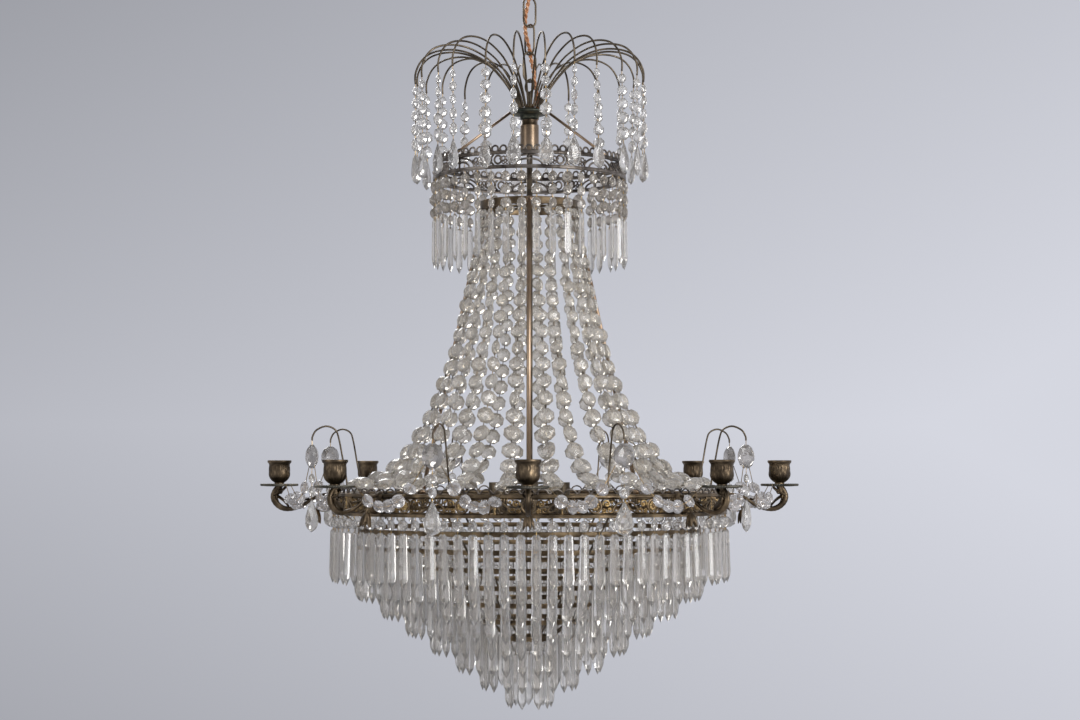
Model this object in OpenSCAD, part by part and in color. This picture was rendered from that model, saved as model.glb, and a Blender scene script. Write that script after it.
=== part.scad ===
// Crystal chandelier: a crown, a tent of bead strands and a basket of prisms on a brass frame,
// with eight candle arms, hung from a ceiling hook on a short chain.
// The origin is the middle of the ceiling face and Z points up, so everything lies below zero.
// Azimuth 0 is the front, -Y, and azimuth 90 is +X.

/* [Ceiling fitting] */
// Thickness of the ceiling plate
plate_t = 3; // [2:0.5:5]
// Distance between the two ceiling screws
screw_spacing = 70; // [60:1:74]
// Diameter of the ceiling screw holes
screw_hole_d = 5; // [4:0.5:6]
// Wire of the ceiling hook
hook_wire = 5; // [4:0.5:6]
// Mean radius of the ceiling hook's ring
hook_r = 9.5; // [9:0.5:11]
// Drop from the ceiling to where the chain hangs in the hook
hook_drop = 38; // [36:1:44]
// Diameter of the canopy cup at the ceiling
canopy_d = 112; // [108:1:130]
// Height of the canopy cup
canopy_h = 62; // [60:1:72]
// Wall of the canopy cup
canopy_wall = 1.2; // [1:0.1:2]
// Diameter of the hole that the chain passes through
canopy_hole_d = 37; // [36:1:44]
// Height of the grip ring under the canopy
grip_h = 7; // [5:1:10]

/* [Chain] */
// Distance from one link's seat to the next
link_pitch = 40.6; // [36:0.2:48]
// Width of a link
link_w = 25; // [23:0.5:28]
// Wire of a link
link_wire = 3; // [2.5:0.1:3.5]
// Azimuth of the first link's plane
chain_turn = 37; // [0:1:90]
// Diameter of the flex that is threaded down the chain
flex_d = 3.4; // [2.8:0.2:3.6]

/* [Stem] */
// Wire of the eye on top of the stem
eye_wire = 3.6; // [3:0.2:4]
// Mean radius of the eye
eye_r = 9.5; // [9:0.5:11]
// Diameter of the eye's shank
shank_d = 8; // [6:0.5:9]
// Diameter of the brass sleeve under the collar
sleeve_d = 27; // [25:0.5:32]
// Length of the brass sleeve
sleeve_len = 46; // [36:1:50]
// Diameter of the long stem rod
rod_d = 9; // [7:0.5:11]
// Length of the long stem rod below the sleeve
rod_len = 540; // [480:5:560]

/* [Crown] */
// Drop from the chain's last seat to the collar
collar_drop = 41; // [38:1:48]
// Diameter of the collar
collar_d = 58; // [50:1:70]
// Height of the collar
collar_h = 16; // [12:1:20]
// Number of crown wires
crown_n = 24; // [12:4:28]
// Diameter of a crown wire
crown_wire = 2.8; // [1.8:0.1:3]
// Radius of a crown wire's long rising arc
crown_rise_r = 107; // [100:1:120]
// Radius of a crown wire's outer arc
crown_fall_r = 45; // [38:1:50]
// Radius at which the crown strings hang
crown_hang_r = 167; // [160:1:175]
// Height of the crown's top over the collar
crown_top = 88; // [80:1:100]
// Size of a crown string's first bead
crown_bead_first = 14; // [12:1:16]
// Size of a crown string's last bead
crown_bead_last = 20; // [16:1:22]
// Beads in a crown string
crown_beads = 5; // [3:1:6]
// Length of a crown pear
crown_pear_len = 44; // [36:1:50]
// Width of a crown pear
crown_pear_w = 22; // [18:1:26]

/* [Upper gallery] */
// Drop from the collar's top to the upper gallery's top face
upper_drop = 82; // [78:1:100]
// Mean radius of the upper gallery
upper_r = 139; // [130:1:146]
// Height of the upper gallery
upper_h = 25; // [22:1:32]
// Units in the upper gallery's frieze
upper_units = 24; // [16:1:28]
// Scallops round the upper gallery
upper_scallops = 72; // [60:1:80]
// Diameter of a strut from the collar
strut_d = 4; // [3:0.5:6]
// Strings in the upper fringe
fringe_n = 40; // [24:1:44]
// Beads over each fringe prism
fringe_beads = 3; // [2:1:3]
// Length of a fringe prism
fringe_prism_len = 68; // [50:1:74]
// Width of a fringe prism
fringe_prism_w = 10; // [8:0.5:12]

/* [Tent] */
// Drop from the collar's top to the strand ring
ring_drop = 137; // [130:1:150]
// Radius at which the strands hang from the strand ring
ring_r = 70; // [66:1:80]
// Height of the strand ring
ring_h = 11; // [8:1:14]
// Number of bead strands
strand_n = 24; // [18:6:24]
// Beads in each strand
strand_beads = 20; // [14:1:20]
// Size of the first bead of a strand
strand_bead_first = 14; // [10:1:15]
// Size of the last bead of a strand
strand_bead_last = 29; // [22:1:29]
// Diameter of a suspension rod
susp_d = 6; // [4:0.5:7]

/* [Main gallery] */
// Drop from the collar's top to the main gallery's top face
main_drop = 559; // [540:1:575]
// Mean radius of the main gallery
main_r = 282.8; // [276:0.2:292]
// Height of the main gallery
main_h = 31; // [28:1:36]
// Units in the main gallery's frieze, a multiple of the arms
main_units = 40; // [24:8:40]
// Scallops round the main gallery
main_scallops = 96; // [90:1:136]
// Radial thickness of both galleries' bands
band_t = 3.4; // [3:0.2:5]
// Width of the flat shelf inside the main gallery
shelf_w = 23; // [20:1:26]
// Mean radius of the spider's ring
spider_r = 184; // [170:1:196]

/* [Basket] */
// Outward step from one tier to the next
tier_step = 36; // [34:0.5:36.5]
// Drop from one tier to the next
tier_fall = 26; // [20:1:30]
// Spacing of the drops along a tier
drop_pitch = 21; // [20:0.5:30]
// Size of a drop's octagon bead
drop_bead = 16; // [12:1:17]
// Length of a drop's prism
drop_prism_len = 75; // [50:1:90]
// Width of a drop's prism
drop_prism_w = 11; // [8:0.5:12]
// Height of a tier ring
tier_ring_h = 7; // [5:0.5:9]
// Thickness of a tier ring
tier_ring_t = 1.6; // [1:0.1:2.4]
// Diameter of a rib between two tiers
rib_d = 3; // [2:0.2:4]

/* [Candle arms] */
// Radius of the candle cups' axes
cup_axis_r = 362; // [354:1:372]
// Height of the cups' rims over the main gallery's top face
cup_rise = 46; // [42:1:56]
// Height of a candle cup
cup_h = 34; // [30:1:40]
// Diameter of a cup's lip
cup_lip_d = 34; // [31:0.5:40]
// Diameter of the bore for the candle
candle_d = 23; // [20:0.5:25]
// Depth of the bore for the candle
candle_depth = 25; // [18:1:26]
// Diameter of a drip pan
pan_d = 54; // [48:1:60]
// Diameter of the round bar that the arms are made of
arm_d = 5.6; // [4:0.2:7]

/* [Sprays and swags] */
// Diameter of a spray wire
spray_wire = 3; // [2:0.2:4]
// Radius at which the spray plates hang
spray_hang_r = 326; // [320:1:332]
// Height of a spray wire over the main gallery's top face
spray_rise = 93; // [86:1:110]
// Radius of the bend on top of a spray wire
spray_bend_r = 20; // [15:1:24]
// Diameter of the flat plate crystal
plate_crystal_d = 34; // [28:1:36]
// Beads in each swag
swag_beads = 5; // [3:1:5]
// Size of a swag bead
swag_bead_d = 19; // [14:1:20]
// Sag of a swag below the line between its ends
swag_sag = 40; // [20:1:44]
// Size of a pendant's first bead
pendant_bead_first = 14; // [10:1:15]
// Size of a pendant's last bead
pendant_bead_last = 16; // [12:1:18]
// Length of a pendant's pear
pendant_pear_len = 46; // [36:1:52]
// Width of a pendant's pear
pendant_pear_w = 28; // [22:1:30]

/* [Lamp cluster] */
// Number of lampholders
lamp_n = 3; // [2:1:6]
// Radius at which the lampholders stand
lamp_r = 52; // [44:1:62]
// Outer diameter of a lampholder
lamp_d = 26; // [22:1:30]
// Diameter of a lampholder's socket
socket_d = 14; // [12:0.5:16]
// Depth of a lampholder's socket
socket_depth = 24; // [16:1:30]

/* [Hidden] */

$fn = 72;
seat = 0.3;
pin_d = 1.2;
arm_n = 8;
tier_n = 8;
link_n = 4;
arm_step = 360 / arm_n;
link_play = 0.3;

// The plate centres the canopy cup
plate_d = canopy_d - 2 * canopy_wall - 2 * seat;

// Levels, from the ceiling down
chain_end_z = -hook_drop - link_n * link_pitch;
collar_z = chain_end_z - collar_drop;
upper_z = collar_z - upper_drop;
ring_z = collar_z - ring_drop;
main_z = collar_z - main_drop;
main_bottom_z = main_z - main_h;
sleeve_z = collar_z - collar_h - seat;
rod_z = sleeve_z - sleeve_len - seat;
crown_z = collar_z + crown_top;
cup_z = main_z + cup_rise;
pan_z = cup_z - cup_h - seat;

// Gallery sections
upper_band_h = 5;
main_band_h = 4.5;
shelf_t = 2;
shelf_z = main_z - 1;
shelf_inner_r = main_r - band_t / 2 - shelf_w;

// A bead is drawn round, with the volume of the flat octagon that it stands for
bead_belly = 0.4;
bead_gap = 2.5;
hook_eye = 3;

function lerp(a, b, t) = a + (b - a) * t;
function total(v) = v * [for (i = v) 1];

// Turns what is drawn in the XZ plane, with X pointing outwards, to an azimuth
module at_azimuth(a) {
    rotate([0, 0, a - 90]) children();
}

module ring_of(n, first = 0) {
    for (i = [0 : n - 1]) at_azimuth(first + i * 360 / n) children();
}

// A round bar bent along an arc in the XZ plane, about the point [x, z], from angle a to angle b
module arc_rod(x, z, r, a, b, d) {
    translate([x, 0, z]) rotate([90, 0, 0]) rotate([0, 0, a])
        rotate_extrude(angle = b - a) translate([r, 0]) circle(d = d);
}

// A straight round bar between two points
module bar(p, q, d) {
    v = q - p;
    turn = [0, acos(v.z / norm(v)), atan2(v.y, v.x)];
    translate(p) rotate(turn) cylinder(d = d, h = norm(v));
}

// A strip that follows points in the XZ plane, as deep as it is wide
module strip(path, w) {
    n = len(path);
    sides = [for (i = [0 : n - 1])
        let (t = path[min(i + 1, n - 1)] - path[max(i - 1, 0)]) [-t.y, t.x] / norm(t) * w / 2];
    translate([0, w / 2, 0]) rotate([90, 0, 0]) linear_extrude(w)
        polygon(concat([for (i = [0 : n - 1]) path[i] + sides[i]],
            [for (i = [n - 1 : -1 : 0]) path[i] - sides[i]]));
}

function arc_points(x, z, r, a, b, n) = [for (i = [0 : n]) [x, z] + r * [cos(lerp(a, b, i / n)), sin(lerp(a, b, i / n))]];

// A ring with a rectangular section, from height z down to z - h
module band(r, t, z, h) {
    translate([0, 0, z - h]) difference() {
        cylinder(r = r + t / 2, h = h, $fn = 144);
        translate([0, 0, -1]) cylinder(r = r - t / 2, h = h + 2, $fn = 144);
    }
}

// Half the outline of a bead of size d on its pin, from z = top down
function bead_outline(d, top) = [[pin_d / 2, top], [d * bead_belly, top - d * 0.3],
    [d * bead_belly, top - d * 0.7], [pin_d / 2, top - d]];

// Where each bead of a string starts, and last where the string goes on below them
function bead_tops(sizes) = [for (i = [0 : len(sizes)])
    -hook_eye - total([for (k = [0 : i]) k < i ? sizes[k] + bead_gap : 0])];

// Beads on a pin that hangs down from z = 0, and below them a crystal with this half outline
module beaded(sizes, tail) {
    tops = bead_tops(sizes);
    rotate_extrude($fn = 36) polygon(concat([[0, 0], [pin_d / 2, 0]],
        [for (i = [0 : len(sizes) - 1]) each bead_outline(sizes[i], tops[i])], tail));
}

// Half the outline of a pointed prism that hangs down from z = top
function spear_outline(w, len, top) = [[pin_d / 2, top], [w * 0.42, top - w * 0.6],
    [w * 0.5, top - len + w * 1.6], [w * 0.06, top - len], [0, top - len]];

// Beads with a pointed prism below them
module drop(bead, n, w, len) {
    sizes = [for (i = [1 : n]) bead];
    beaded(sizes, spear_outline(w, len, bead_tops(sizes)[n]));
}

// The outline of a pear: a half circle below, drawn in to a narrow neck above
function pear_outline(w, len) = concat(
    [for (a = [180 : 20 : 360]) [w / 2 * cos(a), w / 2 * (1 + sin(a)) - len]],
    [[w * 0.38, -len * 0.42], [w * 0.16, -len * 0.12], [w * 0.07, 0],
     [-w * 0.07, 0], [-w * 0.16, -len * 0.12], [-w * 0.38, -len * 0.42]]);

// A flat pear that hangs down from z = 0, seen face on along X
module pear(w, len, t) {
    translate([-t / 2, 0, 0]) rotate([90, 0, 90]) linear_extrude(t) polygon(pear_outline(w, len));
}

module ceiling_plate() {
    color("dimgray") difference() {
        translate([0, 0, -plate_t]) cylinder(d = plate_d, h = plate_t);
        for (side = [-1, 1])
            translate([side * screw_spacing / 2, 0, -plate_t - 1]) cylinder(d = screw_hole_d, h = plate_t + 2);
        at_azimuth(chain_turn + flex_points[0][0])
            translate([flex_points[0][1], 0, -plate_t - 1]) cylinder(d = flex_d + 1.4, h = plate_t + 2);
    }
}

module ceiling_hook() {
    ring_z0 = -hook_drop - hook_wire / 2 - link_play / 2 + hook_r;
    color("dimgray") at_azimuth(chain_turn + 90) {
        arc_rod(0, ring_z0, hook_r, 90, 410, hook_wire);
        translate([0, 0, ring_z0 + hook_r]) cylinder(d = hook_wire, h = -ring_z0 - hook_r - plate_t - seat);
        translate([0, 0, -plate_t - seat - 4]) cylinder(d = hook_wire * 2, h = 4);
    }
}

// The canopy's outline runs from its rim at the ceiling to the hole for the chain
module canopy() {
    rim_r = canopy_d / 2;
    hole_r = canopy_hole_d / 2;
    w = canopy_wall;
    color("darkgoldenrod") rotate_extrude($fn = 96) polygon([
        [rim_r, 0], [rim_r, -6], [rim_r - 4, -16], [rim_r - 12, -28], [rim_r - 22, -40],
        [rim_r - 30, -52], [hole_r + 3, -canopy_h], [hole_r, -canopy_h], [hole_r, -canopy_h + w],
        [hole_r + 2, -canopy_h + w], [rim_r - 30 - w, -51], [rim_r - 22 - w, -39],
        [rim_r - 12 - w, -27], [rim_r - 4 - w, -15], [rim_r - w, -6], [rim_r - w, 0]]);
}

module canopy_grip() {
    color("goldenrod") rotate_extrude() translate([canopy_hole_d / 2 - 0.5, -canopy_h - seat - grip_h])
        square([4, grip_h]);
}

// Link i hangs from seat i - 1 to seat i, and each is turned a quarter from the last
module chain_link(i) {
    mean_r = (link_w - link_wire) / 2;
    top = -hook_drop - (i - 1) * link_pitch + (link_wire + link_play) / 2;
    bottom = -hook_drop - i * link_pitch - (link_wire + link_play) / 2;
    high = top - mean_r;
    low = bottom + mean_r;
    color("#54442f") at_azimuth(chain_turn + 90 * (i - 1)) {
        arc_rod(0, high, mean_r, 0, 180, link_wire);
        arc_rod(0, low, mean_r, 180, 360, link_wire);
        for (side = [-1, 1])
            translate([side * mean_r, 0, low]) cylinder(d = link_wire, h = high - low);
    }
}

// The flex winds once round inside the chain, a quarter turn a link, so that it threads every link,
// and enters the collar beside the nut.
// Each point is [azimuth past the first link's plane, radius, height]
flex_entry = [-310, 10.6];
flex_points = [[45, 6.6, -1], [45, 6.6, -12], [45, 6.6, -24], [45, 6.6, -38], [30, 6.4, -48],
    [0, 6.2, -58], [-30, 6.4, -68], [-45, 6.6, -78], [-60, 6.4, -88], [-90, 6.2, -99],
    [-120, 6.4, -109], [-135, 6.6, -119], [-150, 6.4, -129], [-180, 6.2, -139], [-210, 6.4, -150],
    [-225, 6.6, -160], [-240, 6.4, -170], [-270, 6.2, -180], [-300, 6.4, -190], [-315, 6.8, -200],
    [-312, 9, -212], [-310, 10.6, -224], [-310, 10.6, -236], [-310, 10.4, -248], [-310, 8.6, -262],
    [-310, 8.4, -275], [-310, 8.4, -288]];

// A tube swept along points, with flat ends
module swept_tube(points, d, sides) {
    n = len(points);
    rings = [for (i = [0 : n - 1])
        let (t = points[min(i + 1, n - 1)] - points[max(i - 1, 0)],
             u = t / norm(t),
             side = cross(u, [0, 1, 0]) / norm(cross(u, [0, 1, 0])),
             up = cross(side, u))
        for (k = [0 : sides - 1])
            points[i] + d / 2 * (cos(360 * k / sides) * side + sin(360 * k / sides) * up)];
    walls = [for (i = [0 : n - 2], k = [0 : sides - 1])
        let (a = i * sides + k, b = i * sides + (k + 1) % sides)
        each [[a, a + sides, b], [b, a + sides, b + sides]]];
    ends = [[for (k = [0 : sides - 1]) k], [for (k = [sides - 1 : -1 : 0]) (n - 1) * sides + k]];
    polyhedron(rings, concat(walls, ends));
}

module flex() {
    route = [for (p = flex_points)
        let (a = chain_turn + p[0] - 90) [p[1] * cos(a), p[1] * sin(a), p[2]]];
    color("#b8684c") swept_tube(route, flex_d, 8);
}

module stem_eye() {
    eye_z = chain_end_z + (eye_wire + link_play) / 2 - eye_r;
    shank_top = eye_z - eye_r;
    shank_bottom = sleeve_z - 6;
    color("#54442f") at_azimuth(chain_turn + 90 * link_n) {
        arc_rod(0, eye_z, eye_r, -90, 270, eye_wire);
        translate([0, 0, shank_bottom]) cylinder(d = shank_d, h = shank_top - shank_bottom);
    }
}

module collar_nut() {
    color("goldenrod") translate([0, 0, collar_z + seat]) difference() {
        cylinder(d = shank_d + 6, h = 6, $fn = 6);
        translate([0, 0, -1]) cylinder(d = shank_d + 0.2, h = 8);
    }
}

// The flex passes through the collar beside the nut, drawn in towards the sleeve on its way
module collar() {
    r = collar_d / 2;
    color("#8a6a34") difference() {
        translate([0, 0, collar_z]) rotate_extrude() polygon([[0, 0], [r * 0.7, 0], [r * 0.9, -2],
            [r, -5], [r, -9], [r * 0.8, -12], [sleeve_d / 2, -collar_h], [0, -collar_h]]);
        translate([0, 0, collar_z - collar_h - 1]) cylinder(d = shank_d + 0.2, h = collar_h + 2);
        at_azimuth(chain_turn + flex_entry[0]) translate([flex_entry[1] - 0.6, 0, collar_z - collar_h - 1])
            cylinder(d = flex_d + 3, h = collar_h + 2);
    }
}

module stem_sleeve() {
    inner_r = sleeve_d / 2 - 1.5;
    color("#a9853f") translate([0, 0, sleeve_z - sleeve_len]) difference() {
        cylinder(d = sleeve_d, h = sleeve_len);
        translate([0, 0, 2]) cylinder(r = inner_r, h = sleeve_len);
        translate([0, 0, -1]) cylinder(d = rod_d + 0.2, h = 4);
    }
}

module stem_rod() {
    top = sleeve_z - 6 - seat;
    bottom = rod_z - rod_len;
    color("#4a3a28") translate([0, 0, bottom]) cylinder(d = rod_d, h = top - bottom);
}

// A crown wire rises from the collar along one arc and falls outwards along a tighter one
module crown_wires() {
    knee_r = crown_hang_r - crown_fall_r;
    // The leaning foot's lowest corner is clear of the collar
    foot_rise = collar_z + seat + crown_wire * 0.15 - (crown_z - crown_rise_r);
    color("#54442f") ring_of(crown_n, 7.5)
        strip(concat(
            arc_points(knee_r, crown_z - crown_rise_r, crown_rise_r, 180 - asin(foot_rise / crown_rise_r), 95, 7),
            arc_points(knee_r, crown_z - crown_fall_r, crown_fall_r, 90, -6, 6)), crown_wire);
}

// Beads, then a flat pear, on one string that hangs straight down from z = 0
module bead_string(first, last, n, pear_w, pear_len) {
    sizes = [for (i = [0 : n - 1]) lerp(first, last, i / max(n - 1, 1))];
    end = bead_tops(sizes)[n];
    beaded(sizes, [[pin_d / 2, end - 2], [0, end - 2]]);
    translate([0, 0, end]) pear(pear_w, pear_len, pear_w * 0.4);
}

module crown_strings() {
    tip = crown_z - crown_fall_r - (crown_fall_r + crown_wire) * sin(6);
    color("#d9d2c6") ring_of(crown_n, 7.5) translate([crown_hang_r - 0.2, 0, tip - seat])
        bead_string(crown_bead_first, crown_bead_last, crown_beads, crown_pear_w, crown_pear_len);
}

module upper_struts() {
    color("#8a6a34") for (a = [60, 180, 300]) at_azimuth(a) {
        bar([collar_d / 2 + 1, 0, collar_z - 7], [upper_r - band_t / 2 - 2, 0, upper_z - 3], strut_d);
        translate([upper_r - band_t / 2 - 3 - seat, 0, upper_z - 3]) rotate([0, 90, 0])
            cylinder(d = strut_d + 0.8, h = 3);
    }
}

module upper_bands() {
    color("#8a6a34") {
        band(upper_r, band_t, upper_z, upper_band_h);
        band(upper_r, band_t, upper_z - upper_h + upper_band_h, upper_band_h);
    }
}

// One unit of pierced frieze: a flower between two volutes, with a baluster at each end.
// It is cut from a plate that stands at radius r, from z = 0 down to z = -h
module frieze_unit(r, pitch, h, t) {
    flower = h * 0.27;
    curl = min(h * 0.3, pitch / 6);
    wire = t * 0.6;
    post_y = pitch / 2 - wire / 2 - seat;
    translate([r - t / 2, 0, -h / 2]) rotate([90, 0, 90]) linear_extrude(t) {
        circle(flower, $fn = 16);
        square([wire, h], center = true);
        for (side = [-1, 1]) {
            translate([side * (flower + curl - wire / 2), 0]) difference() {
                circle(curl);
                circle(curl - wire);
            }
            translate([side * post_y, 0]) square([wire, h], center = true);
            translate([side * (post_y + flower + 2 * curl - wire) / 2, 0])
                square([post_y - flower - 2 * curl + 2 * wire, wire], center = true);
        }
    }
}

module upper_frieze() {
    h = upper_h - 2 * upper_band_h - 2 * seat;
    color("#a9853f") ring_of(upper_units) translate([0, 0, upper_z - upper_band_h - seat])
        frieze_unit(upper_r, 2 * PI * upper_r / upper_units, h, band_t);
}

module upper_fringe() {
    color("#d9d2c6") ring_of(fringe_n, 4.5) translate([upper_r, 0, upper_z - upper_h - seat])
        drop(drop_bead, fringe_beads, fringe_prism_w, fringe_prism_len);
}

// Band, hub and six spokes
module strand_ring() {
    color("#8a6a34") difference() {
        union() {
            band(ring_r, 3, ring_z, ring_h);
            translate([0, 0, ring_z - ring_h]) cylinder(r = rod_d / 2 + 6, h = ring_h);
            for (a = [30 : 60 : 330]) at_azimuth(a)
                translate([rod_d / 2 + 4, 0, ring_z - ring_h / 2]) rotate([0, 90, 0])
                    cylinder(d = 4, h = ring_r - rod_d / 2 - 4);
        }
        translate([0, 0, ring_z - ring_h - 1]) cylinder(d = rod_d + 0.2, h = ring_h + 2);
    }
}

// A rod starts at a screwed boss on the outside of the strand ring and ends on the spider
module suspension_rods() {
    boss_r = ring_r + 1.5 + seat;
    boss_z = ring_z - ring_h / 2;
    foot_z = shelf_z - shelf_t - 1;
    color("#a9853f") for (a = [0, 120, 240]) at_azimuth(a) {
        translate([boss_r, 0, boss_z]) rotate([0, 90, 0]) cylinder(d = 11, h = 7);
        bar([boss_r + 4.5, 0, boss_z], [spider_r, 0, foot_z + 6], susp_d);
        translate([spider_r, 0, foot_z + seat]) cylinder(d = susp_d + 4, h = 7);
    }
}

// The line of a strand is a cubic curve from the strand ring down to the shelf of the main gallery
strand_from = [ring_r, ring_z - ring_h - seat / 2];
strand_to = [shelf_inner_r + 8, main_z + 10];
strand_pull = [[ring_r + 22, ring_z - 186], [ring_r + 80, main_z]];
function strand_point(t) = pow(1 - t, 3) * strand_from + 3 * t * pow(1 - t, 2) * strand_pull[0]
    + 3 * t * t * (1 - t) * strand_pull[1] + pow(t, 3) * strand_to;
strand_steps = 80;
strand_pieces = [for (i = [1 : strand_steps])
    norm(strand_point(i / strand_steps) - strand_point((i - 1) / strand_steps))];
// How far along the strand each step is, beside the parameter there
strand_table = [for (i = 0, s = 0; i <= strand_steps;
    s = s + (i < strand_steps ? strand_pieces[i] : 0), i = i + 1) [s, i / strand_steps]];
strand_length = strand_table[strand_steps][0];
function strand_at(s) = strand_point(lookup(s, strand_table));
strand_sizes = [for (i = [0 : strand_beads - 1])
    lerp(strand_bead_first, strand_bead_last, i / (strand_beads - 1))];
strand_weights = [for (d = strand_sizes) d + bead_gap];
strand_scale = strand_length / total(strand_weights);
strand_edges = [for (i = [0 : strand_beads])
    strand_scale * total([for (k = [0 : i]) k < i ? strand_weights[k] : 0])];

// A bead of a strand with its own pin ends, from point p to point q in the XZ plane
module linked_bead(d, p, q) {
    len = norm(q - p) - seat;
    middle = (p + q) / 2;
    translate([middle.x, 0, middle.y]) rotate([0, atan2(p.x - q.x, p.y - q.y), 0])
        rotate_extrude($fn = 36) polygon(concat([[0, len / 2], [pin_d / 2, len / 2]],
            bead_outline(d, d / 2), [[pin_d / 2, -len / 2], [0, -len / 2]]));
}

module bead_strands() {
    color("#cfc5b4") ring_of(strand_n, 7.5) {
        for (i = [0 : strand_beads - 1])
            linked_bead(strand_sizes[i], strand_at(strand_edges[i]), strand_at(strand_edges[i + 1]));
        translate([strand_to.x, 0, shelf_z + seat]) cylinder(d = pin_d, h = strand_to.y - shelf_z - 2 * seat);
    }
}

module lamp_cluster() {
    hub_z = rod_z - rod_len + 12;
    color("#a9853f") difference() {
        union() {
            translate([0, 0, hub_z]) cylinder(r = rod_d / 2 + 12, h = 14);
            ring_of(lamp_n, 60) {
                bar([rod_d / 2 + 8, 0, hub_z + 7], [lamp_r, 0, hub_z + 7], 8);
                translate([lamp_r, 0, hub_z]) cylinder(d = lamp_d, h = 46);
            }
        }
        translate([0, 0, hub_z - 1]) cylinder(d = rod_d + 0.2, h = 16);
        ring_of(lamp_n, 60) translate([lamp_r, 0, hub_z + 46 - socket_depth])
            cylinder(d = socket_d, h = socket_depth + 1);
    }
}

module main_bands() {
    color("#8a6a34") {
        band(main_r, band_t, main_z, main_band_h);
        band(main_r - band_t / 2 - shelf_w / 2 + 0.5, shelf_w + 1, shelf_z, shelf_t);
        band(main_r, band_t, main_bottom_z + main_band_h, main_band_h);
    }
}

module main_frieze() {
    h = main_h - 2 * main_band_h - 2 * seat;
    color("#a9853f") ring_of(main_units) translate([0, 0, main_z - main_band_h - seat])
        frieze_unit(main_r, 2 * PI * main_r / main_units, h, band_t);
}

// Loops of wire that stand side by side on the galleries' top faces
module scallops(r, n, z) {
    wire = 1.6;
    loop_r = PI * r / n - wire / 2 - 0.2;
    ring_of(n) translate([r, 0, z + 0.2]) rotate([90, 0, 90])
        rotate_extrude(angle = 180, $fn = 24) translate([loop_r, 0]) circle(d = wire, $fn = 16);
}

module gallery_scallops() {
    color("#c29b4a") {
        scallops(upper_r, upper_scallops, upper_z);
        scallops(main_r, main_scallops, main_z);
    }
}

module spider() {
    top = shelf_z - shelf_t - 1;
    color("#8a6a34") {
        band(spider_r, 12, top, 3);
        for (a = [0 : 60 : 300]) at_azimuth(a) {
            translate([spider_r + 4, -4, top - 3]) cube([shelf_inner_r + 8 - spider_r, 8, 3]);
            translate([shelf_inner_r + 6, 0, top - 3]) cylinder(d = 8, h = 4 - seat);
        }
    }
}

function tier_r(i) = main_r - (i - 1) * tier_step;
function tier_z(i) = main_bottom_z - (i - 1) * tier_fall;
function tier_count(i) = floor(2 * PI * tier_r(i) / drop_pitch);

// The first tier hangs from the main gallery itself
module basket_rings() {
    color("#8a6a34") for (i = [2 : tier_n])
        band(tier_r(i), tier_ring_t, tier_z(i) + tier_ring_h, tier_ring_h);
}

module basket_ribs() {
    color("#8a6a34") for (i = [1 : tier_n - 1]) ring_of(arm_n, 22.5) {
        // A rib's slanting end reaches a third of its width past its middle line
        end = rib_d / 3 + seat;
        from = [tier_r(i) - (i == 1 ? band_t : tier_ring_t) / 2 - end, 0, tier_z(i) + 2.5];
        to = [tier_r(i + 1) + tier_ring_t / 2 + end, 0, tier_z(i + 1) + 3.5];
        bar(from, to, rib_d);
    }
}

module tier_drops(i) {
    color("#d9d2c6") ring_of(tier_count(i), 180 / tier_count(i)) translate([tier_r(i), 0, tier_z(i) - seat])
        drop(drop_bead, 1, drop_prism_w, drop_prism_len);
}

// An arm runs from its boss on the frieze over a crest, down a slope and round the bowl under the pan
arm_slope = 20;
bowl_r = 19;
crest_r = 20;
crest_end_turn = 150;
curl_r = 14;
module candle_arm(i) {
    boss_r = main_r + band_t / 2 + seat;
    bowl = [cup_axis_r - 8, pan_z - 15];
    bowl_end = bowl + bowl_r * [cos(-90 - arm_slope), sin(-90 - arm_slope)];
    crest_x = boss_r + crest_r * cos(180 - crest_end_turn) + arm_d / 2 + 0.4;
    slope_len = (bowl_end.x - crest_x - crest_r * sin(arm_slope)) / cos(arm_slope);
    crest_end = bowl_end + slope_len * [-cos(arm_slope), sin(arm_slope)];
    crest = crest_end - crest_r * [sin(arm_slope), cos(arm_slope)];
    curl = [lerp(crest_end.x, bowl_end.x, 0.45), lerp(crest_end.y, bowl_end.y, 0.45) - curl_r];
    color("#6b5433") at_azimuth((i - 1) * arm_step) {
        arc_rod(bowl.x, bowl.y, bowl_r, -90 - arm_slope, 0, arm_d);
        bar([bowl_end.x, 0, bowl_end.y], [crest_end.x, 0, crest_end.y], arm_d);
        arc_rod(crest.x, crest.y, crest_r, 90 - arm_slope, crest_end_turn, arm_d);
        translate([boss_r, 0, crest.y + crest_r * sin(crest_end_turn)]) rotate([0, 90, 0])
            cylinder(d = arm_d * 2.2, h = arm_d * 0.9);
        translate([cup_axis_r, 0, bowl.y - bowl_r * 0.9]) cylinder(d = arm_d + 1.4,
            h = pan_z - pan_t - seat - bowl.y + bowl_r * 0.9);
        arc_rod(curl.x, curl.y, curl_r, 70, 225, arm_d * 0.7);
        translate([curl.x + curl_r * cos(225), 0, curl.y + curl_r * sin(225)]) sphere(d = arm_d * 1.4);
        translate([bowl.x + bowl_r, 0, bowl.y]) sphere(d = arm_d * 1.5);
        for (knuckle = [bowl_end, crest_end]) translate([knuckle.x, 0, knuckle.y]) sphere(d = arm_d + 1);
    }
}

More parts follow.
